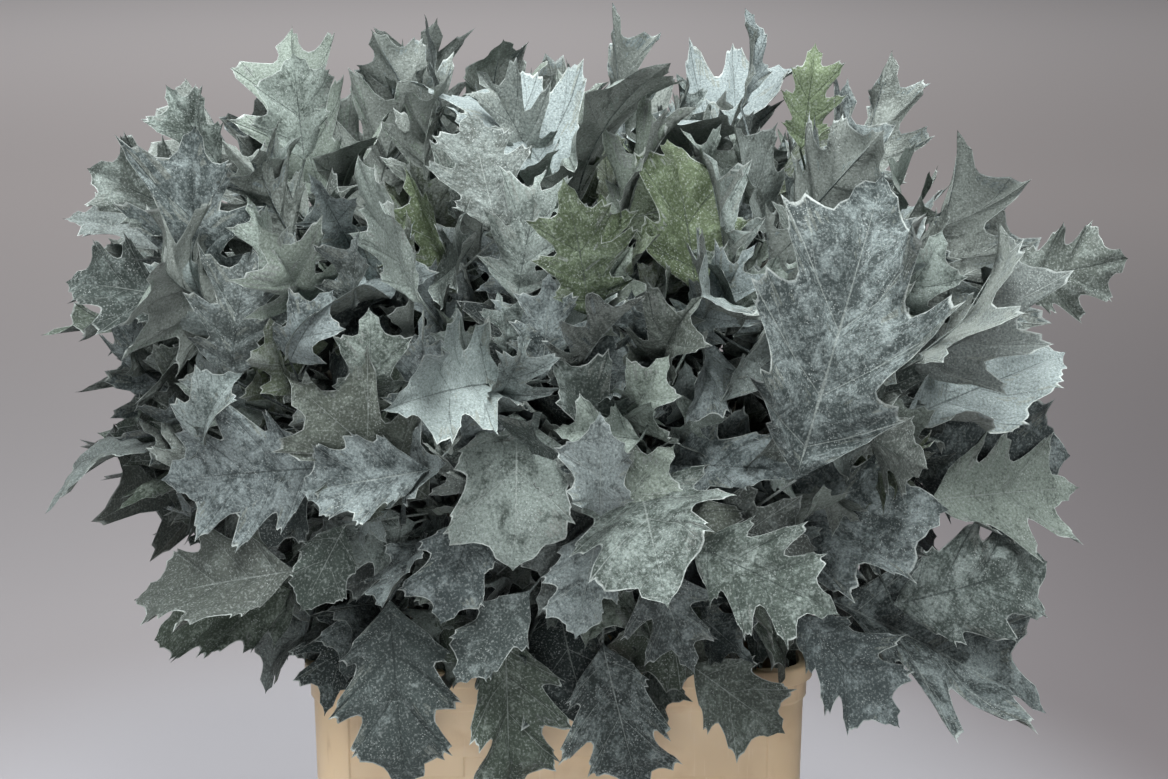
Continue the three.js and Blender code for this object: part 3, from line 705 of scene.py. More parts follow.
# The leaves that stand out at the front: base, tip, the way the blade faces, lobes, width, and half the width
# of the view of it that stays free.
SHOWN_LEAVES = [
    ((186, -318, 559), (257, -250, 791), (-0.1, -1, 0.1), 7, 1, 60),
    ((383, -60, 661), (495, -30, 682), (0, -0.9, 0.5), 7, 1, 0),
    ((-137, -228, 434), (-125, -240, 273), (0, -1, 0.1), 7, 0.9, 45),
    ((107, -290, 500), (223, -322, 450), (0, -1, 0.5), 7, 1.15, 40),
    ((35, -330, 534), (34, -342, 620), (0, -1, 0.2), 5, 1.3, 40),
    ((-43, -235, 412), (-40, -238, 263), (0.1, -1, 0), 7, 0.95, 0),
    ((37, -242, 402), (69, -242, 272), (-0.1, -1, 0.1), 7, 1, 0),
    ((111, -212, 372), (190, -212, 312), (0, -1, 0.3), 5, 1.2, 0),
    ((232, -140, 406), (424, -120, 296), (0.2, -0.8, 0.6), 7, 1.2, 0),
    ((-286, -120, 724), (-394, -100, 771), (-0.2, -0.9, 0.5), 7, 1.1, 0),
    ((-308, -120, 663), (-418, -90, 672), (-0.1, -0.9, 0.4), 7, 1, 0),
    ((-330, 20, 617), (-460, 0, 607), (0, -0.3, 1), 5, 0.6, 0),
    ((158, -20, 812), (160, -10, 897), (1, -0.4, 0), 5, 0.5, 0),
    ((-103, 0, 812), (-116, 10, 890), (-1, -0.6, 0), 5, 0.5, 0),
    ((-104, -272, 690), (-156, -222, 800), (-3, -4, 0), 7, 0.8, 35),
    ((-213, -232, 460), (-353, -190, 421), (-0.1, -0.8, 0.5), 7, 1, 0),
    ((-46, -222, 734), (-72, -158, 826), (0, -0.9, 0.5), 7, 0.95, 0),
    ((315, -140, 494), (456, -60, 484), (0.3, -0.8, 0.5), 7, 0.95, 0),
    ((284, -170, 571), (435, -80, 609), (0.2, -0.8, 0.5), 7, 0.95, 0),
    ((-289, -40, 761), (-338, -20, 832), (-0.3, -0.9, 0.3), 5, 1.2, 0),
    ((-216, -60, 772), (-226, -40, 862), (-0.1, -0.9, 0.3), 5, 1.3, 0),
    ((206, -60, 781), (217, -60, 872), (0.1, -1, 0.2), 7, 0.9, 0),
    ((285, -150, 405), (423, -100, 428), (0.2, -0.9, 0.2), 7, 1, 0),
    ((-227, -150, 418), (-349, -120, 363), (-0.2, -0.8, 0.5), 7, 1, 0),
    ((-316, -60, 699), (-432, -20, 715), (-0.3, -0.5, 0.8), 5, 0.6, 0),
    ((-186, -240, 549), (-326, -200, 528), (-1, -3, 1), 7, 1.15, 35),
    ((-170, -250, 504), (-206, -270, 437), (0, -1, 0.2), 5, 1.1, 0),
    ((-100, -270, 555), (-205, -260, 534), (0, -0.9, 0.4), 7, 1.1, 0),
    ((66, -300, 587), (-3, -300, 595), (0, -0.9, 0.4), 5, 1.3, 0),
    ((201, -200, 412), (285, -215, 318), (0.2, -0.8, 0.5), 7, 1.1, 0),
    ((35, -270, 514), (15, -290, 420), (0, -1, 0.1), 7, 1, 0),
    ((71, -275, 494), (111, -285, 389), (0.1, -1, 0.1), 7, 1, 0),
    ((-65, -260, 515), (-93, -280, 429), (-0.1, -1, 0.1), 5, 1.1, 0),
    ((-21, -270, 455), (-82, -280, 379), (-0.6, -0.8, 0), 5, 0.9, 0),
]
ROOT_SHARES = [0.6 + 0.02 * i for i in range(20)]
ROOT_SLANT = 0.15  # how far behind the blade's base its root has to lie, of the way to it
NEAREST_STEMS = 7


class Roots:
    """The places on the stems where a leaf may be rooted, and which are nearest behind a blade's base."""

    def __init__(self, stems, shares):
        self.shares = shares
        self.at = np.array([[stem.at(share) for share in shares] for stem in stems])

    def behind(self, base, x, slant):
        """The nearest root place on each stem, nearest stem first: stem number, share, and the way there."""
        away = self.at - base
        apart = np.sqrt((away**2).sum(-1))
        apart = np.where(away @ x < -slant * apart, apart, np.inf)
        best = apart.argmin(1)
        nearest = apart[np.arange(len(best)), best]
        order = np.argsort(nearest, kind="stable")
        return [(n, self.shares[best[n]], away[n, best[n]]) for n in order if nearest[n] < np.inf]


def leaf_between(stems, roots, form, base, tip, face, attempt, slant=ROOT_SLANT):
    """A leaf of this form from base to tip, facing that way, rooted on one of the nearest stems."""
    chord = tip - base
    half = form.bend / 2
    form.length = math.sqrt(chord @ chord) * half / math.sin(half)
    ahead = unit(chord)
    up = unit(face - ahead * (face @ ahead))
    x = ahead * math.cos(half) + up * math.sin(half)
    z = up * math.cos(half) - ahead * math.sin(half)
    y = np.cross(z, x)
    places = roots.behind(base, x, slant)
    if not places:
        return None
    number, share, away = places[attempt % min(len(places), NEAREST_STEMS)]
    form.root = np.array([away @ x, away @ y, away @ z])
    cut = stems[number].radius(share)
    return SimpleNamespace(form=form, origin=base, axes=(x, y, z), cut=cut, stem=stems[number])


def shown_try(stems, shown, index, attempt):
    """One of the front's leaves, tried on one stem after another."""
    base, tip, face, lobes, width, _ = shown
    form = leaf_form(draws_from(index * 97 + attempt), lobes == 7)
    form.width = width
    form.bend *= 0.5
    return leaf_between(stems, shown_roots, form, *(np.array(v, float) for v in (base, tip, face)), attempt)


CROWDED = 4  # leaves of a branch that sit close together at its tip
OPENING = (16, 92)  # degrees between a shoot and its leaf, from the tip's leaf to the lowest
OPENING_STRAY = 16
ATTEMPTS = 14
SHOWN_ATTEMPTS = 35
SHRINK_FROM = 6  # from this attempt on a leaf gets smaller
SHRINK_STEP = 0.05
CLEARANCE = 0.6  # kept round every leaf
BUCKET_CLEARANCE = (9, 9, 2)
STALK_FREE = 2.5
WINDOW_FRONT = -600
WINDOW_GAP = 12


def leaf_try(stem, j, attempt):
    """The stem's leaf number j from its tip down."""
    draw = draws_from(stem.number * 7919 + j * 131 + attempt)
    form = leaf_form(draw, j < LARGE_LEAVES)
    share = 1 - (0.01 + 0.012 * j if j < CROWDED else 0.08 + 0.034 * (j - CROWDED))
    along = unit(stem.at(share + 0.01) - stem.at(share - 0.01))
    first = unit(np.cross(along, (0, 1, 0) if abs(along[2]) > 0.8 else (0, 0, 1)))
    second = np.cross(along, first)
    angle = math.radians(mix(*OPENING, (j / (LEAVES_PER_BRANCH - 1)) ** 0.75))
    angle += math.radians(mix(-OPENING_STRAY, OPENING_STRAY, draw()))
    turn = j * GOLDEN_ANGLE + stem.number * 1.3 + mix(-0.5, 0.5, draw())
    around = first * math.cos(turn) + second * math.sin(turn)
    pull = stem.outward * (0.6 * stem.share) + np.array([0, 0, -mix(0.1, 0.6, stem.share)])
    ahead = along * math.cos(angle) + around * math.sin(angle)
    x = unit(ahead + pull * math.sin(angle))
    facing = along * math.sin(angle) - around * math.cos(angle)
    level = unit(facing - x * (facing @ x))
    roll = mix(-0.7, 0.7, draw())
    z = level * math.cos(roll) + np.cross(x, level) * math.sin(roll)
    form.length *= 1 - SHRINK_STEP * max(attempt - SHRINK_FROM + 1, 0)
    origin = stem.at(share) - x * form.root[0]
    axes = (x, np.cross(z, x), z)
    return SimpleNamespace(form=form, origin=origin, axes=axes, cut=stem.radius(share), stem=stem)


def place_leaf(taken, leaves, attempts, leaf_at):
    """Keeps the first try that meets nothing."""
    for attempt in range(attempts):
        leaf = leaf_at(attempt)
        room = leaf_room(leaf, BLADE_THICKNESS + 2 * CLEARANCE, 2 * CLEARANCE, leaf.cut + STALK_FREE)
        tested = shape_of(*room)
        if not taken.crossings(tested):
            taken.add(tested)
            leaves.append(leaf)
            return


def place_leaves(stems, taken):
    """The front's own leaves, then every stem's leaves from its tip down, one for each stem in turn."""
    leaves = []
    for index, shown in enumerate(SHOWN_LEAVES):
        place_leaf(taken, leaves, SHOWN_ATTEMPTS, lambda attempt: shown_try(stems, shown, index, attempt))
    for low, high in windows:
        taken.add(shape_of(*box_room(low, high)))
    for j in range(LEAVES_PER_BRANCH):
        for stem in stems:
            place_leaf(taken, leaves, ATTEMPTS, lambda attempt: leaf_try(stem, j, attempt))
    return leaves


shown_roots = Roots(stems, ROOT_SHARES)
windows = []
for base, tip, _, _, _, window in SHOWN_LEAVES:
    if window:
        middle = (np.array(base) + tip) / 2
        low = (middle[0] - window, WINDOW_FRONT, min(base[2], tip[2]))
        high = (middle[0] + window, middle[1] - WINDOW_GAP, max(base[2], tip[2]))
        windows.append((low, high))
taken = Crowd()
bucket_top = np.array([BUCKET_TOP[0] / 2 / MM, BUCKET_TOP[1] / 2 / MM, BUCKET_HEIGHT / MM]) + BUCKET_CLEARANCE
taken.add(shape_of(*box_room((-bucket_top[0], -bucket_top[1], 0), bucket_top)))
for stem in stems:
    taken.add(shape_of(*stick_room(stem.path, [r + CLEARANCE for r in STEM_RADII], 4)))
leaves = place_leaves(stems, taken)

# The blades: each leaf's margin runs in hollow arcs from spine to spine, and the thin dry blade is quilted
# between its veins, curled at its lobes and closed all round. A midrib under it tapers and becomes the stalk.
FINE = SimpleNamespace(base=4, tooth=4, bay=6, end=4, rows=(0.34, 0.66, 0.92))
TOOTH_PLACE = 0.25  # how far from its lobe's vein a tooth's vein place lies
DRYING = ((0.012, 0.036), (0.05, 0.2), (0.006, 0.024), (0, 6))  # quilting, curl, ruffle and its phase
BUCKLES = ((1.5, 0.026), (2.9, 0.016))  # waves in a blade's length, and how high, of the length
ROLLED_EDGE = 0.009  # how far the margin rolls up, of the length
ROLL_FROM = 0.9  # where that starts, of the way from midrib to margin
RAGGED = 0.009  # how far the margin's points stray in or out, of the length
SPINE = 0.03  # how far a lobe's spine stands out, of the length
NARROW = 5  # a margin nearer the midrib than this doesn't stray
RIB_PLACES = (0, 0.05, 0.13, 0.25, 0.4, 0.55, 0.7, 0.84)
RIB_SIDES = 5


def hollow_arc(a, b, through, steps):
    """Points after a, up to b, on the curve that passes through the third point half-way."""
    control = 2 * through - (a + b) / 2
    t = (np.arange(1, steps + 1) / steps)[:, None]
    return (1 - t) ** 2 * a + 2 * t * (1 - t) * control + t * t * b


def margin(form, side, draw, steps):
    """One side's outline from base to apex: flat points, vein places, and midrib places."""
    starts = [0, *(v.start for v in form.lobes), 1]
    turns = [margin_point(form, v, share) for v, share in zip(form.lobes, form.reaches[side])]
    ends = [np.array(end, float) for end in ((0, 0), *turns, (form.length, 0))]
    points, veins, ribs = [np.zeros((1, 2))], [np.zeros(1)], [np.zeros(1)]
    here = SimpleNamespace(at=ends[0], vein=0.0, rib=0.0)

    def go(at, vein_place, rib, through, count):
        nonlocal here
        share = np.arange(1, count + 1) / count
        points.append(hollow_arc(here.at, at, through, count))
        veins.append(mix(here.vein, vein_place, share))
        ribs.append(mix(here.rib, rib, share))
        here = SimpleNamespace(at=at, vein=vein_place, rib=rib)

    def rib_point(share):
        return np.array([share * form.length, 0])

    def sag(a, b, depth, rib):
        middle = (a + b) / 2
        apart = math.sqrt((b - a) @ (b - a))
        return middle + unit(rib_point(rib) - middle) * depth * apart

    def tooth(tip, bay, rib, near):
        flat = mix(tip, bay, mix(0.3, 0.46, draw()) if near else mix(0.32, 0.5, draw()))
        return rib_point(rib) + (flat - rib_point(rib)) * (1 + mix(0.02, 0.2, draw()))

    lobes = len(form.lobes) // 2
    for lobe in range(lobes):
        tip, before, after = ends[2 * lobe + 1], ends[2 * lobe], ends[2 * lobe + 2]
        start, start_before, start_after = starts[2 * lobe + 1], starts[2 * lobe], starts[2 * lobe + 2]
        number = lobe + 1
        rib_near, rib_far = mix(start, start_before, 0.3), mix(start, start_after, 0.3)
        near = tooth(tip, before, rib_near, True)
        if lobe == 0:
            through = sag(here.at, near, mix(-0.06, 0.1, draw()), 0.5 * start)
            go(near, number - TOOTH_PLACE, rib_near, through, steps.base)
        else:
            go(near, number - TOOTH_PLACE, rib_near, before, steps.bay)
        go(tip, number, start, sag(near, tip, mix(0.13, 0.2, draw()), start), steps.tooth)
        far = tooth(tip, after, rib_far, False)
        go(far, number + TOOTH_PLACE, rib_far, sag(tip, far, mix(0.12, 0.2, draw()), start), steps.tooth)
    apex, bay, start = ends[-1], ends[-2], starts[-2]
    last = mix(apex, bay, mix(0.4, 0.55, draw()))
    last = last + (0, mix(0.01, 0.035, draw()) * form.length)
    rib_last = mix(start, 1, 0.45)
    go(last, lobes + 1 - TOOTH_PLACE, rib_last, bay, steps.bay)
    go(apex, lobes + 1, 1.0, sag(last, apex, mix(0.1, 0.18, draw()), 0.95), steps.end)
    return np.concatenate(points), np.concatenate(veins), np.concatenate(ribs)


blade_plans = {}


def blade_plan(stations, rows):
    """How a blade's points are joined: faces, and for each face corner its station, row and side."""
    levels = rows + 2
    count = 2
    grid = {}
    for k in range(stations):
        ends = k in (0, stations - 1)
        for face in (0, 1):
            for side in (0, 1):
                for row in range(levels):
                    if ends:
                        grid[k, face, side, row] = 0 if k == 0 else 1
                    elif row == 0 and side == 1:
                        grid[k, face, side, row] = grid[k, face, 0, 0]
                    elif row == levels - 1 and face == 1:
                        grid[k, face, side, row] = grid[k, 0, side, row]
                    else:
                        grid[k, face, side, row] = count
                        count += 1
    faces, corners = [], []
    for k in range(stations - 1):
        for face in (0, 1):
            for side in (0, 1):
                for row in range(levels - 1):
                    ring = [(k, row), (k + 1, row), (k + 1, row + 1), (k, row + 1)]
                    if k == 0:
                        ring = ring[1:]
                    elif k == stations - 2:
                        ring = [ring[0], ring[1], ring[3]]
                    if face == side:
                        ring = ring[::-1]
                    faces.append([grid[at, face, side, level] for at, level in ring])
                    corners += [(at, level, side, face) for at, level in ring]
    places = sorted({(index, *key) for key, index in grid.items()})
    first = {}
    for index, *key in places:
        first.setdefault(index, key)
    order = np.array([first[index] for index in range(count)])
    return SimpleNamespace(faces=faces, corners=np.array(corners), order=order, count=count)


def tube(path, radii, sides):
    """A round tube along a path, its ends closed: points and faces."""
    along = unit(path[1] - path[0])
    across = unit(np.cross(along, [0.1, 1, 0.2] if abs(along[1]) < 0.9 else [1, 0, 0.1]))
    points = []
    for i, at in enumerate(path):
        along = unit(path[min(i + 1, len(path) - 1)] - path[max(i - 1, 0)])
        across = unit(across - along * (across @ along))
        other = np.cross(along, across)
        points += circle_round(at, across, other, radii[i], sides)
    faces = []
    for i in range(len(path) - 1):
        for k in range(sides):
            a, b = i * sides + k, i * sides + (k + 1) % sides
            faces.append([a, b, b + sides, a + sides])
    last = (len(path) - 1) * sides
    faces += [list(range(sides))[::-1], [last + k for k in range(sides)]]
    return np.array(points), faces


def blade(form, draw, steps):
    """A leaf's blade and midrib in its own place: points, faces, and vein places for every face corner."""
    sides = [margin(form, side, draw, steps) for side in (0, 1)]
    stations = len(sides[0][1])
    levels = np.array([0, *steps.rows, 1])
    key = (stations, len(steps.rows))
    if key not in blade_plans:
        blade_plans[key] = blade_plan(*key)
    plan = blade_plans[key]
    veins = sides[0][1]
    ribs = np.stack([sides[0][2] * form.length, np.zeros(stations)], -1)
    outline = np.stack([sides[side][0] * (1, 2 * side - 1) for side in (0, 1)])
    out = outline - ribs
    reach = np.sqrt((out**2).sum(-1, keepdims=True))
    stray = np.array([[[mix(-1, 1, draw())] for _ in range(stations)] for _ in (0, 1)])
    ragged = stray * RAGGED * form.length
    spines = np.where((veins > 0) & (veins % 1 == 0), SPINE * form.length, 0)[:, None]
    outline = outline + np.where(reach > NARROW, out / np.maximum(reach, NARROW) * (ragged + spines), 0)
    k, face, side, row = plan.order.T
    share = levels[row]
    flat = ribs[k] + (outline[side, k] - ribs[k]) * share[:, None]
    at, normal = blade_points(form, flat[:, 0], flat[:, 1])
    lobes = int(veins[-1])
    curls = np.array([[mix(-0.6, 1, draw()) for _ in range(lobes + 2)] for _ in (0, 1)])
    quilt, curl, ruffle, phase = (mix(*span, draw()) for span in DRYING)
    place = veins[k]
    lobe = np.minimum(np.round(place).astype(int), lobes + 1)
    lift = quilt * np.sin(math.pi * place) ** 2 * np.sin(math.pi * share)
    about_lobe = np.cos(math.pi * (place - lobe)) ** 2
    lift += curl * curls[side, lobe] * about_lobe * share**2.5 * np.minimum(1, place)
    lift += ruffle * np.sin(5 * place + phase + 2 * side) * share**3
    for waves, height in BUCKLES:
        way = mix(0, 2 * math.pi, draw())
        along = flat @ (math.cos(way), math.sin(way)) / form.length
        lift += height * np.sin(2 * math.pi * waves * along + mix(0, 6, draw())) * np.minimum(1, 2 * share)
    lift += mix(0.3, 1, draw()) * ROLLED_EDGE * np.maximum(0, share - ROLL_FROM) * 10
    lift[share == 0] = 0
    lift *= form.length * np.minimum(1, 4 * (1 - flat[:, 0] / form.length))
    half = BLADE_THICKNESS / 2 * (1 - share**2) * np.where(face == 0, 1, -1)
    points = at + normal * (lift + half)[:, None]
    uv = np.stack([veins[plan.corners[:, 0]], levels[plan.corners[:, 1]] * (2 * plan.corners[:, 2] - 1)], -1)
    under = plan.corners[:, 3]
    rim = np.zeros(plan.count, bool)
    rim[(row == len(levels) - 1) | (np.arange(plan.count) < 2)] = True
    return SimpleNamespace(points=points, faces=plan.faces, uv=uv, under=under, rim=rim)


def rib_and_stalk(form, root_radius):
    """The midrib under the blade, which runs on as the stalk to its root on the stem if that has a radius."""
    places = np.array(RIB_PLACES) * form.length
    at, normal = blade_points(form, places, np.zeros(len(places)))
    thin = np.array([mix(STALK_WIDTH * 0.42, 0.35, p / RIB_PLACES[-1]) for p in RIB_PLACES])
    under = at - normal * (0.45 * thin)[:, None]
    if root_radius is None:
        return tube(under[::2], thin[::2], 3)
    stalk = [form.root * share for share in (1, 0.75, 0.5, 0.25)]
    path = np.array([*stalk, *under])
    swell = [root_radius, STALK_WIDTH * 0.46, STALK_WIDTH * 0.44, STALK_WIDTH * 0.43]
    return tube(path, [*swell, *thin], RIB_SIDES)


# The finish of the blades: a thin, uneven coat of grey-white powder over grey-green dry leaf, thick on the
# margins and rubbed off in clouds. It follows each leaf's own veins, and its tone, green, side and powder.
def leaf_coat():
    """The dried, powdered leaf."""
    f = Finish("powdered_leaf")
    own = add_node(f.tree, "ShaderNodeAttribute", attribute_name="finish")
    channels = add_node(f.tree, "ShaderNodeSeparateColor", {0: own.outputs["Color"]})
    tone, green, under = channels.outputs
    powder = own.outputs["Alpha"]
    veins = add_node(f.tree, "ShaderNodeUVMap", uv_map="veins").outputs[0]
    vein_place, across, _ = add_node(f.tree, "ShaderNodeSeparateXYZ", {0: veins}).outputs
    out = f.maths("ABSOLUTE", across)
    off = f.maths("PINGPONG", vein_place, 0.5)
    fork = f.times(f.rise(out, 0.3, 1.1), TOOTH_PLACE)
    branch = f.maths("ABSOLUTE", f.less(off, fork))
    wobble = f.times(f.less(f.noise(120, 3), 0.5), 0.02)
    side_vein = f.rise(f.plus(off, wobble), 0.021, 0.005)
    tooth_vein = f.times(f.rise(f.plus(branch, wobble), 0.016, 0.004), 0.5)
    midrib = f.rise(out, 0.026, 0.008)
    lines = f.maths("MAXIMUM", f.maths("MAXIMUM", side_vein, tooth_vein), midrib)
    net = f.rise(f.cells(330, "DISTANCE_TO_EDGE"), 0.1, 0.02)
    clouds = f.noise(42, 7, **{"Roughness": 0.68, "Distortion": 0.8})
    fine = f.noise(230, 5, **{"Roughness": 0.75})
    along = {"X": f.times(vein_place, 9), "Y": f.times(out, 1.6), "Z": f.times(tone, 40)}
    fibres = f.noise(1, 4, add_node(f.tree, "ShaderNodeCombineXYZ", along).outputs[0], **{"Roughness": 0.7})
    marbled = f.plus(f.times(clouds, 0.55), f.times(fine, 0.27))
    marbled = f.plus(marbled, f.times(fibres, 0.18))
    bare = f.less(0.62, f.times(powder, 0.22))
    coat = f.rise(f.less(marbled, bare), -0.07, 0.08)
    grain = f.noise(520, 2)
    edge_wobble = f.times(f.less(f.noise(150, 3), 0.5), 0.03)
    at_edge = f.rise(f.plus(out, edge_wobble), 0.96, 0.985)
    edge = f.times(at_edge, f.rise(f.noise(55, 3), 0.35, 0.65, 0.25, 0.8))
    specks = f.times(f.rise(f.cells(420), 0.26, 0.14), f.rise(f.noise(40, 3), 0.5, 0.62))
    warm = f.rise(f.maths("FRACT", f.times(tone, 7.3)), 0.6, 1, 0, 0.5)
    dark = f.tint(tone, colour(40, 50, 51), colour(66, 77, 78))
    dark = f.tint(f.rise(green, 0.0, 0.5), dark, colour(66, 78, 66))
    dark = f.tint(f.rise(green, 0.6, 0.9), dark, colour(74, 88, 60))
    pale = f.tint(tone, colour(128, 140, 140), colour(145, 158, 159))
    pale = f.tint(f.rise(green, 0.0, 0.5, 0, 0.8), pale, colour(135, 148, 134))
    pale = f.tint(f.rise(green, 0.6, 0.9), pale, colour(116, 132, 104))
    base = f.tint(coat, dark, pale)
    base = f.tint(warm, base, colour(104, 109, 102))
    base = f.tint(f.times(net, 0.25), base, dark)
    below = f.tint(tone, colour(72, 80, 76), colour(106, 114, 109))
    below = f.tint(f.rise(green, 0.6, 0.9, 0, 0.7), below, colour(92, 104, 78))
    streaks = f.rise(f.plus(f.times(coat, 0.4), f.times(fibres, 0.6)), 0.3, 0.7)
    below = f.tint(f.times(streaks, 0.75), below, colour(142, 151, 146))
    base = f.tint(under, base, below)
    sunk = f.times(f.rise(tone, 0.35, 0.55), f.less(1, under))
    line_colour = f.tint(sunk, colour(164, 174, 170), colour(46, 55, 55))
    base = f.tint(f.times(lines, 0.55), base, line_colour)
    base = f.tint(f.rise(grain, 0.5, 0.75, 0, 0.34), base, colour(190, 200, 198))
    base = f.tint(f.rise(grain, 0.5, 0.28, 0, 0.4), base, colour(40, 48, 48))
    base = f.tint(f.times(specks, 0.6), base, colour(200, 209, 207))
    base = f.tint(edge, base, colour(200, 210, 207))
    ridge = f.times(lines, f.rise(under, 0, 1, -0.7, 1.6))
    height = f.plus(f.plus(ridge, f.times(coat, 0.6)), f.times(fine, 1.1))
    height = f.plus(height, f.times(clouds, 2.2))
    height = f.less(height, f.times(net, 0.25))
    roughness = f.rise(coat, 0, 1, 0.62, 0.9)
    return f.done(base, roughness, height, 0.8, 0.001, **{"Specular IOR Level": 0.35})


# The branches as they stand: each shoot with its own leaves is one piece, as it grew.
FINE_SEED = 6900
GREEN_PLACES = ((42, 753), (88, 722), (210, 800), (-115, 718), (276, 500), (-248, 628))  # x and z
GREEN_NEAR = 34  # a leaf at the front whose middle is this near one of them is green
PAINTED_LIGHT_FROM = (540, 280)  # the height where a leaf is as drawn, and how far above or below it differs most
PAINTED_LIGHT = SimpleNamespace(tone=0.2, powder=0.35)  # painted light, as if lit more from above: how much paler and more powdered a leaf is there, or less below


def leaf_finish(leaf, draw):
    """A leaf's tone, green and powder, each from 0 to 1."""
    tone, green, powder = draw(), 0.45 * draw() ** 1.5, mix(0.15, 1, draw())
    middle = leaf.origin + leaf.axes[0] * leaf.form.length / 2
    # Painted light: leaves high in the bunch are painted paler and more powdered, low ones darker and barer.
    height = min(max((middle[2] - PAINTED_LIGHT_FROM[0]) / PAINTED_LIGHT_FROM[1], -1), 1)
    tone, powder = min(max(tone + PAINTED_LIGHT.tone * height, 0), 1), max(powder + PAINTED_LIGHT.powder * height, 0)
    near = [math.hypot(middle[0] - x, middle[2] - z) < GREEN_NEAR for x, z in GREEN_PLACES]
    if middle[1] < 0 and any(near):
        green = mix(0.78, 0.95, draw())
    return tone, green, powder


def branch_mesh(name, shoot, parts, materials):
    """One mesh of a shoot and its leaves' parts, with their vein places and finish on every face corner."""
    count = len(shoot.vertices)
    shoot_points = np.empty(count * 3)
    shoot.vertices.foreach_get("co", shoot_points)
    points, faces = [shoot_points.reshape(-1, 3)], [list(p.vertices) for p in shoot.polygons]
    corners = sum(len(face) for face in faces)
    uv, finish = [np.zeros((corners, 2))], [np.zeros((corners, 4))]
    rim = [np.zeros(count, bool)]
    material = [1] * len(faces)
    for part in parts:
        points.append(part.points * MM)
        faces += [[count + index for index in face] for face in part.faces]
        count += len(part.points)
        material += [0] * len(part.faces)
        uv.append(part.uv)
        finish.append(part.finish)
        rim.append(part.rim)
    mesh = bpy.data.meshes.new(name)
    mesh.from_pydata(np.concatenate(points).tolist(), [], faces)
    mesh.shade_smooth()
    for entry in materials:
        mesh.materials.append(entry)
    mesh.polygons.foreach_set("material_index", material)
    mesh.uv_layers.new(name="veins").data.foreach_set("uv", np.concatenate(uv).ravel())
    layer = mesh.color_attributes.new("finish", "FLOAT_COLOR", "CORNER")
    layer.data.foreach_set("color", np.concatenate(finish).ravel())
    at_rim = np.concatenate(rim)
    ends = np.empty(len(mesh.edges) * 2, int)
    mesh.edges.foreach_get("vertices", ends)
    sharp = mesh.attributes.new("sharp_edge", "BOOLEAN", "EDGE")
    sharp.data.foreach_set("value", at_rim[ends.reshape(-1, 2)].all(1))
    return mesh


def leaf_parts(form, draw, steps, own, root_radius):
    """A leaf's blade and rib in their own place, with this finish and their side on every face corner."""
    surface = blade(form, draw, steps)
    surface.finish = np.tile(own, (len(surface.uv), 1))
    surface.finish[:, 2] = surface.under
    points, faces = rib_and_stalk(form, root_radius)
    corners = sum(len(face) for face in faces)
    rib = SimpleNamespace(points=points, faces=faces, rim=np.zeros(len(points), bool))
    rib.uv = np.tile([0.5, 0.0], (corners, 1))
    rib.finish = np.tile(own, (corners, 1))
    return [surface, rib]


def fine_leaf(leaf, number):
    """The parts of a leaf that has a place in the solids, where they are."""
    draw = draws_from(FINE_SEED + number)
    tone, green, powder = leaf_finish(leaf, draw)
    own = np.array([tone, green, 0, powder])
    parts = leaf_parts(leaf.form, draw, FINE, own, min(leaf.cut, STALK_WIDTH * 0.7))
    for part in parts:
        part.points = placed(leaf, part.points)
    return parts


coat = leaf_coat()
for stem, shoot in zip(stems, shoots):
    own_leaves = [(number, leaf) for number, leaf in enumerate(leaves) if leaf.stem is stem]
    parts = [part for number, leaf in own_leaves for part in fine_leaf(leaf, number)]
    name = f"{stem.number + 1:02d}"
    mesh = branch_mesh(f"leafy_branch_{name}", shoot, parts, (coat, shoot_bark))
    place_piece(f"leafy_branch_{name}", mesh, "foliage", f"branch_{name}")

# The inner leaves: the many leaves that fill the bunch and hang over the bucket's rim, each on its own stalk.
# They grow from a few leaf forms, and each keeps the try that crosses the fewest others, up to three. None has
# a solid. The deep ones lie furthest in, with a coarser mesh, little powder and a low tone: their coat cuts
# both to a tenth, as painted shade for the dark inside of the bunch.
PLAIN = SimpleNamespace(name="inner_leaves", base=3, tooth=2, bay=4, end=3, rows=(0.45, 0.9),
                        form_count=14, large_every=3, seed=77000, coat=1)
# The deep leaves' coat of 0.1 is painted shade: their tone and powder are cut to a tenth, so they are dark.
DEEP = SimpleNamespace(name="deep_leaves", base=2, tooth=1, bay=3, end=2, rows=(0.6,),
                       form_count=6, large_every=2, seed=78000, coat=0.1)
FORM_SEED, FINISH_SEED, LAYER_SEED, SKIRT_SEED = 33000, 15000, 900000, 700000
SEED_STEP = 31  # from one leaf's tries to the next one's
INNER_ATTEMPTS = 5
MOST_CROSSINGS = 3
SHEET_SHARE = 0.84  # of a blade, about its middle, that is kept from crossing
INNER_ROOTS = [0.5 + 0.03 * i for i in range(17)]
INNER_SLANT = -0.6  # their roots may lie ahead of the blade's base
INNER_FOLD = 0.22  # how much more they are folded
INNER_BEND = 1.2  # how many times as much they are bent
INNER_LOBES, INNER_BAYS = 1.1, 0.8  # how far their lobes and bays reach, of the other leaves'
INNER_TOP = 880  # none of them rises above this
LONGEST_STALK = 110
BOX_SLACK = 8  # how far they may pass the solids' box
SET_BACK = 50  # how far behind its place in a layer a leaf's base lies
UPWARD = SimpleNamespace(middle=470, over=120)  # they point up above the middle and down below it
LAYER_SIZE = (0.62, 1.02)
LAYERS = [
    SimpleNamespace(kind=DEEP, count=260, offset=(-45, -5), outward=(0.0, 0.4), lean=0.5, wild=0.7,
                    face=0.6, lowest=150),
    SimpleNamespace(kind=PLAIN, count=300, offset=(-10, 25), outward=(0.15, 0.7), lean=0.8, wild=0.6,
                    face=0.7, lowest=150),
    SimpleNamespace(kind=PLAIN, count=400, offset=(20, 72), outward=(0.25, 1.0), lean=0.8, wild=0.55,
                    face=0.8, lowest=146),
]
SKIRT = SimpleNamespace(count=180, reach=((150, 215), (100, 170)), height=(385, 470), drop=(-1.4, -0.2),
                        size=(0.7, 1.05))


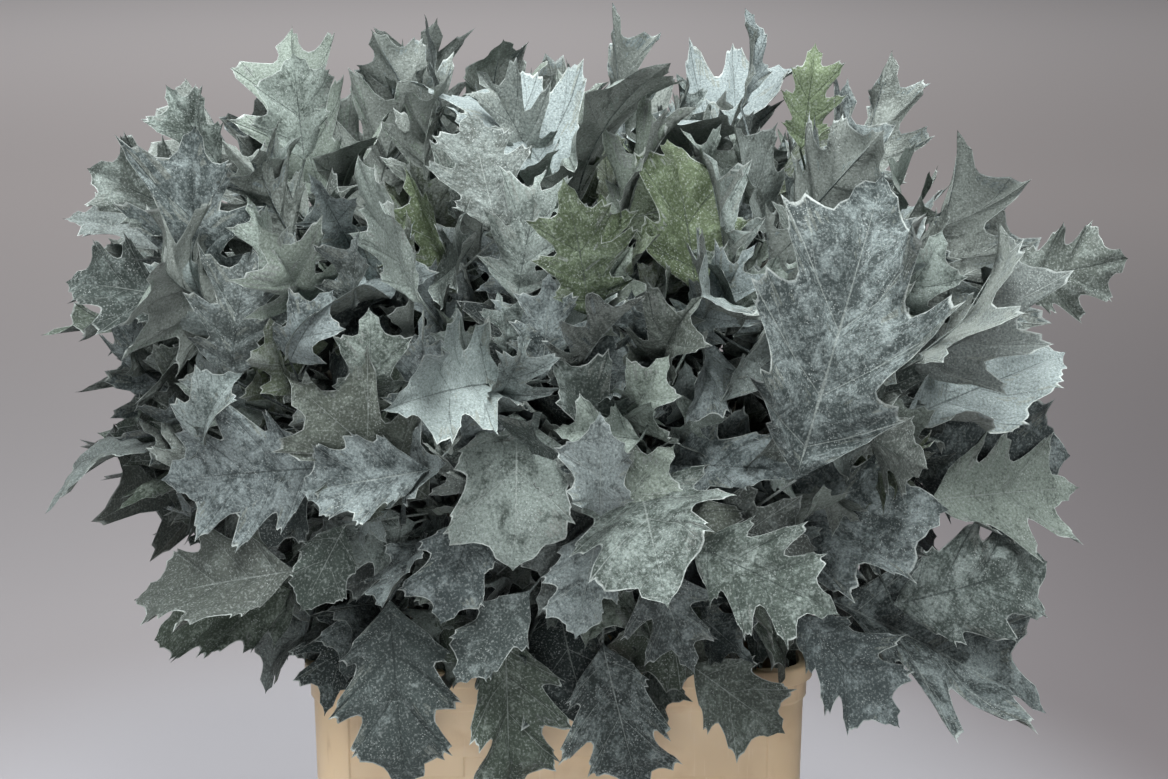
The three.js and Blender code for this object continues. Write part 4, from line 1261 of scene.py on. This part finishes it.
def form_group(kind):
    """The leaf forms that a kind of inner leaf grows from, each with its chord."""
    forms = []
    for index in range(kind.form_count):
        form = leaf_form(draws_from(kind.seed + index), index % kind.large_every == 0)
        form.fold += INNER_FOLD
        form.reaches = [
            [reach * (INNER_LOBES if v.tip else INNER_BAYS) for v, reach in zip(form.lobes, side)]
            for side in form.reaches
        ]
        form.bend *= INNER_BEND
        half = form.bend / 2
        form.chord = form.length * math.sin(half) / half
        forms.append(form)
    return forms


def leaf_sheet(leaf):
    """The middle of a leaf's blade as a fan of triangles and the edges round it, drawn in a little."""
    form = leaf.form
    sides = []
    for side, reaches in zip((-1, 1), form.reaches):
        points = [margin_point(form, v, share) for v, share in zip(form.lobes, reaches)]
        sides.append([(x, side * y) for x, y in points])
    flat = [(0, 0), *sides[0], (form.length, 0), *sides[1][::-1]]
    middle = np.array([0.45 * form.length, 0])
    flat = np.array([middle, *(middle + (np.array(flat) - middle) * SHEET_SHARE)])
    at, _ = blade_points(form, flat[:, 0], flat[:, 1])
    at = placed(leaf, at)
    ring = at[1:]
    following = np.roll(ring, -1, 0)
    corners = np.stack([np.broadcast_to(at[0], ring.shape), ring, following], 1)
    return SimpleNamespace(corners=corners, start=ring, end=following, points=at)


def inner_leaf(forms, draw, base, ahead, face, sizes, attempt):
    """An inner leaf of one of the forms, or None where its stalk would be too long."""
    size = mix(*sizes, draw()) * (1 - SHRINK_STEP * attempt)
    index = int(draw() * len(forms))
    form = SimpleNamespace(**vars(forms[index]))
    tip = base + ahead * form.chord * size
    leaf = leaf_between(stems, inner_roots, form, base, tip, face, 0, INNER_SLANT)
    if leaf is None or form.root @ form.root > LONGEST_STALK**2:
        return None
    leaf.index = index
    leaf.size = form.length / forms[index].length
    return leaf


def layer_try(layer, number, attempt):
    """A leaf of a layer over the crown: its tip points outwards and away from the crown's middle height."""
    draw = draws_from(LAYER_SEED + number * SEED_STEP + attempt)
    share = (number % layer.count + 0.5) / layer.count
    lean = math.acos(1 - (1 - math.cos(math.radians(layer.lowest))) * share)
    surface, out = crown_point(lean, number * GOLDEN_ANGLE)
    base = surface + out * mix(*layer.offset, draw())
    turn = mix(0, 2 * math.pi, draw())
    wild = np.array([math.cos(turn), math.sin(turn), mix(-0.7, 0.7, draw())])
    rise = min(max((base[2] - UPWARD.middle) / UPWARD.over, -1), 1)
    ahead = unit(out * mix(*layer.outward, draw()) + np.array([0, 0, rise * layer.lean]) + wild * layer.wild)
    base = base - ahead * SET_BACK
    face = unit(out + np.array([mix(-1, 1, draw()) for _ in range(3)]) * layer.face)
    return inner_leaf(layer.kind.forms, draw, base, ahead, face, LAYER_SIZE, attempt)


def skirt_try(number, attempt):
    """A leaf that hangs over the bucket's rim."""
    draw = draws_from(SKIRT_SEED + number * SEED_STEP + attempt)
    turn = number * GOLDEN_ANGLE
    c, s = math.cos(turn), math.sin(turn)
    round_off = (abs(c) ** 4 + abs(s) ** 4) ** -0.25
    reach = [mix(*span, draw()) for span in SKIRT.reach]
    base = np.array([reach[0] * c * round_off, reach[1] * s * round_off, mix(*SKIRT.height, draw())])
    out = unit(np.array([c * 0.8, s, 0]))
    sideways = np.array([-out[1], out[0], 0]) * mix(-0.6, 0.6, draw())
    ahead = unit(out * 0.7 + sideways + np.array([0, 0, mix(*SKIRT.drop, draw())]))
    face = unit(out + np.array([mix(-0.4, 0.4, draw()), mix(-0.4, 0.4, draw()), mix(0.2, 1, draw())]))
    return inner_leaf(PLAIN.forms, draw, base, ahead, face, SKIRT.size, attempt)


def place_inner_leaf(leaf_at):
    """Keeps the try that crosses the fewest others, if it crosses few, and returns it."""
    best = None
    for attempt in range(INNER_ATTEMPTS):
        leaf = leaf_at(attempt)
        if leaf is None:
            continue
        sheet = leaf_sheet(leaf)
        low, high = sheet.points.min(0), sheet.points.max(0)
        if ((low < box[0]) | (high > box[1])).any():
            continue
        if any((low <= window[1]).all() and (window[0] <= high).all() for window in windows):
            continue
        crossings = sheets.crossings(sheet)
        if crossings <= MOST_CROSSINGS and (best is None or crossings < best[0]):
            best = (crossings, leaf, sheet)
        if crossings == 0:
            break
    if best is None:
        return []
    sheets.add(best[2])
    return [best[1]]


def form_object(form, steps, number, group):
    """A leaf form's own mesh at the origin, with its vein places and underside marked, in a group."""
    parts = leaf_parts(form, draws_from(FORM_SEED + number), steps, np.zeros(4), None)
    mesh = branch_mesh("leaf_form", bpy.data.meshes.new("nothing"), parts, (coat,))
    group.objects.link(bpy.data.objects.new(f"leaf_form_{number:02d}", mesh))


def named(tree, name, kind):
    """A named attribute's value."""
    return add_node(tree, "GeometryNodeInputNamedAttribute", {"Name": name}, data_type=kind).outputs[0]


def inner_tree():
    """Leaf forms on points, and tubes along edges. Each leaf's point says which form, its size and turn."""
    tree, given = named_tree(
        "inner_leaves",
        ("Leaf Forms", "NodeSocketCollection"),
        ("Stalk Radius", "NodeSocketFloat"),
        ("Stalk Sides", "NodeSocketInt"),
        ("Material", "NodeSocketMaterial"),
    )
    shapes = add_node(tree, "GeometryNodeCollectionInfo",
                      {"Collection": given["Leaf Forms"], "Separate Children": True, "Reset Children": True})
    set_on = add_node(tree, "GeometryNodeInstanceOnPoints",
                      {"Points": given["Geometry"], "Selection": named(tree, "holds_leaf", "BOOLEAN"),
                       "Instance": shapes.outputs[0], "Pick Instance": True,
                       "Instance Index": named(tree, "form", "INT"),
                       "Rotation": named(tree, "turn", "QUATERNION"), "Scale": named(tree, "size", "FLOAT")})
    lines = add_node(tree, "GeometryNodeMeshToCurve", {"Mesh": given["Geometry"]})
    profile = add_node(tree, "GeometryNodeCurvePrimitiveCircle",
                       {"Resolution": given["Stalk Sides"], "Radius": given["Stalk Radius"]})
    stalks = add_node(tree, "GeometryNodeCurveToMesh",
                      {"Curve": lines.outputs[0], "Profile Curve": profile.outputs[0], "Fill Caps": True})
    real = add_node(tree, "GeometryNodeRealizeInstances", {"Geometry": set_on.outputs[0]})
    joined = add_node(tree, "GeometryNodeJoinGeometry")
    for part in (real.outputs[0], stalks.outputs[0]):
        tree.links.new(part, joined.inputs[0])
    own = add_node(tree, "FunctionNodeSeparateColor", {0: named(tree, "finish", "FLOAT_COLOR")})
    values = {"Red": named(tree, "tone", "FLOAT"), "Green": named(tree, "green", "FLOAT"),
              "Blue": own.outputs["Blue"], "Alpha": named(tree, "powder", "FLOAT")}
    both = add_node(tree, "FunctionNodeCombineColor", values)
    stored = {"Geometry": joined.outputs[0], "Name": "finish"}
    marked = add_node(tree, "GeometryNodeStoreNamedAttribute", stored, data_type="FLOAT_COLOR",
                      domain="CORNER")
    tree.links.new(both.outputs[0], marked.inputs["Value"])
    return finish_tree(tree, marked.outputs[0], given["Material"])


def leaf_points(leaves):
    """A mesh with each leaf's base, which holds the leaf, and its root, and an edge between as the stalk."""
    mesh = bpy.data.meshes.new("leaf_points")
    places = []
    for leaf in leaves:
        root = placed(leaf, leaf.form.root[None])[0]
        places += [leaf.origin * MM, root * MM]
    mesh.from_pydata([tuple(place) for place in places], [(2 * k, 2 * k + 1) for k in range(len(leaves))], [])
    turns, sizes, forms, holds, tones = [], [], [], [], []
    for leaf in leaves:
        turn = Matrix(np.array(leaf.axes).T.tolist()).to_quaternion()
        turns += [*turn, 1, 0, 0, 0]
        sizes += [leaf.size, 1]
        forms += [leaf.index, 0]
        holds += [True, False]
        tones += [leaf.finish] * 2
    attributes = [("turn", "QUATERNION", turns), ("size", "FLOAT", sizes)]
    attributes += [("form", "INT", forms), ("holds_leaf", "BOOLEAN", holds)]
    for name, kind, values in attributes:
        mesh.attributes.new(name, kind, "POINT").data.foreach_set("value", values)
    for k, name in enumerate(("tone", "green", "powder")):
        mesh.attributes.new(name, "FLOAT", "POINT").data.foreach_set("value", [tone[k] for tone in tones])
    return mesh


inner_roots = Roots(stems, INNER_ROOTS)
box = [np.array(corner) / MM + slack for corner, slack in zip(cad_box, (-BOX_SLACK, BOX_SLACK))]
box[1][2] = INNER_TOP
sheets = Crowd()
for stem in stems:
    sheets.add_edges(stem.path[:-1], stem.path[1:])
for leaf in leaves:
    sheets.add(leaf_sheet(leaf))
wall_x, wall_y = bucket_top[:2]
high = BUCKET_HEIGHT / MM
outline = [(-wall_x, -wall_y), (wall_x, -wall_y), (wall_x, wall_y), (-wall_x, wall_y)]
for first, second in zip(outline, outline[1:] + outline[:1]):
    wall = np.array([(*first, 0), (*second, 0), (*second, high), (*first, high)])
    sheets.add_faces(wall[np.array([(0, 1, 2), (0, 2, 3)])])
for kind in (PLAIN, DEEP):
    kind.forms, kind.leaves = form_group(kind), []
for number in range(SKIRT.count):
    PLAIN.leaves += place_inner_leaf(lambda attempt: skirt_try(number, attempt))
first = 0
for layer in LAYERS[::-1]:
    for number in range(first, first + layer.count):
        layer.kind.leaves += place_inner_leaf(lambda attempt: layer_try(layer, number, attempt))
    first += layer.count

leaf_rule = inner_tree()
for kind in (PLAIN, DEEP):
    group = bpy.data.collections.new(f"{kind.name}_forms")
    for index, form in enumerate(kind.forms):
        form_object(form, kind, index, group)
    values = {"Leaf Forms": group, "Stalk Radius": STALK_WIDTH * 0.44 * MM, "Stalk Sides": 4}
    values["Material"] = coat
    for number, leaf in enumerate(kind.leaves):
        tone, green, powder = leaf_finish(leaf, draws_from(FINISH_SEED + number))
        # Painted shade: a kind's coat below 1 darkens its leaves' tone and powder.
        leaf.finish = (tone * kind.coat, green, powder * kind.coat)
    for stem in stems:
        own = [leaf for leaf in kind.leaves if leaf.stem is stem]
        if own:
            holder = bpy.data.objects.new("leaf_points", leaf_points(own))
            bpy.context.scene.collection.objects.link(holder)
            mesh = grown(holder, leaf_rule, values)
            place_piece(f"{kind.name}_{stem.number + 1:02d}", mesh, "foliage")
    for holder in list(group.objects):
        bpy.data.objects.remove(holder)

# The stage: a wide grey floor with painted light on it, painted paler with distance, with painted shade to the
# right and a painted pool of light round the bucket; five soft lights on the bunch and one on the far floor,
# and the camera a little above the bunch.
FLOOR_SIZE = 60
TARGET = Vector((0.022, 0, 0.558))
CAMERA_DISTANCE = 2.4
CAMERA_ELEVATION = math.radians(13)
LENS = 83.03  # millimetres on a 36 mm sensor

floor_mesh = bpy.data.meshes.new("floor")
half = FLOOR_SIZE / 2
floor_corners = [(-half, -half, 0), (half, -half, 0), (half, half, 0), (-half, half, 0)]
floor_mesh.from_pydata(floor_corners, [], [(0, 1, 2, 3)])
floor = bpy.data.objects.new("floor", floor_mesh)
bpy.context.scene.collection.objects.link(floor)


def square(finish, value, middle):
    """How far a value is from a middle one, squared."""
    off = finish.less(value, middle)
    return finish.times(off, off)


paint = Finish("floor_paint")
across, depth, _ = add_node(paint.tree, "ShaderNodeSeparateXYZ", {0: paint.place}).outputs
# Painted light: the floor is painted paler with distance, where the lamps' light falls off.
floor_colour_and_painted_light = paint.tint(paint.rise(depth, 1.2, 5), colour(150, 147, 149), colour(204, 197, 196))
floor_colour_and_painted_light = paint.tint(paint.rise(depth, 4.5, 11), floor_colour_and_painted_light, colour(226, 221, 221))
# Painted shade: the floor is painted darker to the right, more strongly nearer the front.
distance = paint.maths("MAXIMUM", paint.plus(depth, 3), 2)
shade = paint.rise(paint.maths("DIVIDE", across, distance), -0.05, 0.22)
shade = paint.times(shade, paint.rise(depth, 0.5, 5, 0.64, 0.26))
floor_colour_and_painted_light = paint.tint(shade, floor_colour_and_painted_light, colour(70, 62, 64))
# Painted light: a pale pool of light painted on the floor round the bucket.
near = paint.maths("SQRT", paint.plus(square(paint, across, -0.1), square(paint, depth, 0.3)))
floor_colour_and_painted_light = paint.tint(paint.rise(near, 0.85, 0.4), floor_colour_and_painted_light, colour(170, 170, 175))
floor_mesh.materials.append(paint.done(floor_colour_and_painted_light, 0.9, paint.noise(30, 3), 0.05, 0.0005))

world = bpy.data.worlds.new("studio")
bpy.context.scene.world = world
world.use_nodes = True
world.node_tree.nodes["Background"].inputs["Color"].default_value = (0.64, 0.64, 0.66, 1)
world.node_tree.nodes["Background"].inputs["Strength"].default_value = 0.25


def soft_light(name, place, aim, size, power):
    """A round lamp of this size in metres and power in watts."""
    lamp = bpy.data.lights.new(name, "AREA")
    lamp.shape = "DISK"
    lamp.size = size
    lamp.energy = power
    holder = bpy.data.objects.new(name, lamp)
    holder.location = place
    holder.rotation_euler = (Vector(aim) - Vector(place)).to_track_quat("-Z", "Y").to_euler()
    bpy.context.scene.collection.objects.link(holder)


soft_light("key", (0.1, -1.35, 2.4), TARGET, 1.0, 46)
soft_light("top", (0.05, 0.1, 3.3), TARGET, 1.5, 94)
soft_light("front", (0, -1.7, 0.5), (0, 0, 0.15), 0.5, 6)
soft_light("left", (-1.7, -1.0, 1.6), TARGET, 0.8, 13.5)
soft_light("right", (1.7, -1.0, 1.6), TARGET, 0.8, 13.5)
soft_light("backdrop", (-0.5, 8, 7), (-0.5, 8, 0), 4, 200)

camera_data = bpy.data.cameras.new("camera")
camera_data.lens = LENS
camera_data.sensor_width = 36
camera = bpy.data.objects.new("camera", camera_data)
outwards = Vector((0, -math.cos(CAMERA_ELEVATION), math.sin(CAMERA_ELEVATION)))
camera.location = TARGET + outwards * CAMERA_DISTANCE
camera.rotation_euler = (-outwards).to_track_quat("-Z", "Y").to_euler()
bpy.context.scene.collection.objects.link(camera)
bpy.context.scene.camera = camera
bpy.context.scene.view_settings.view_transform = "Standard"
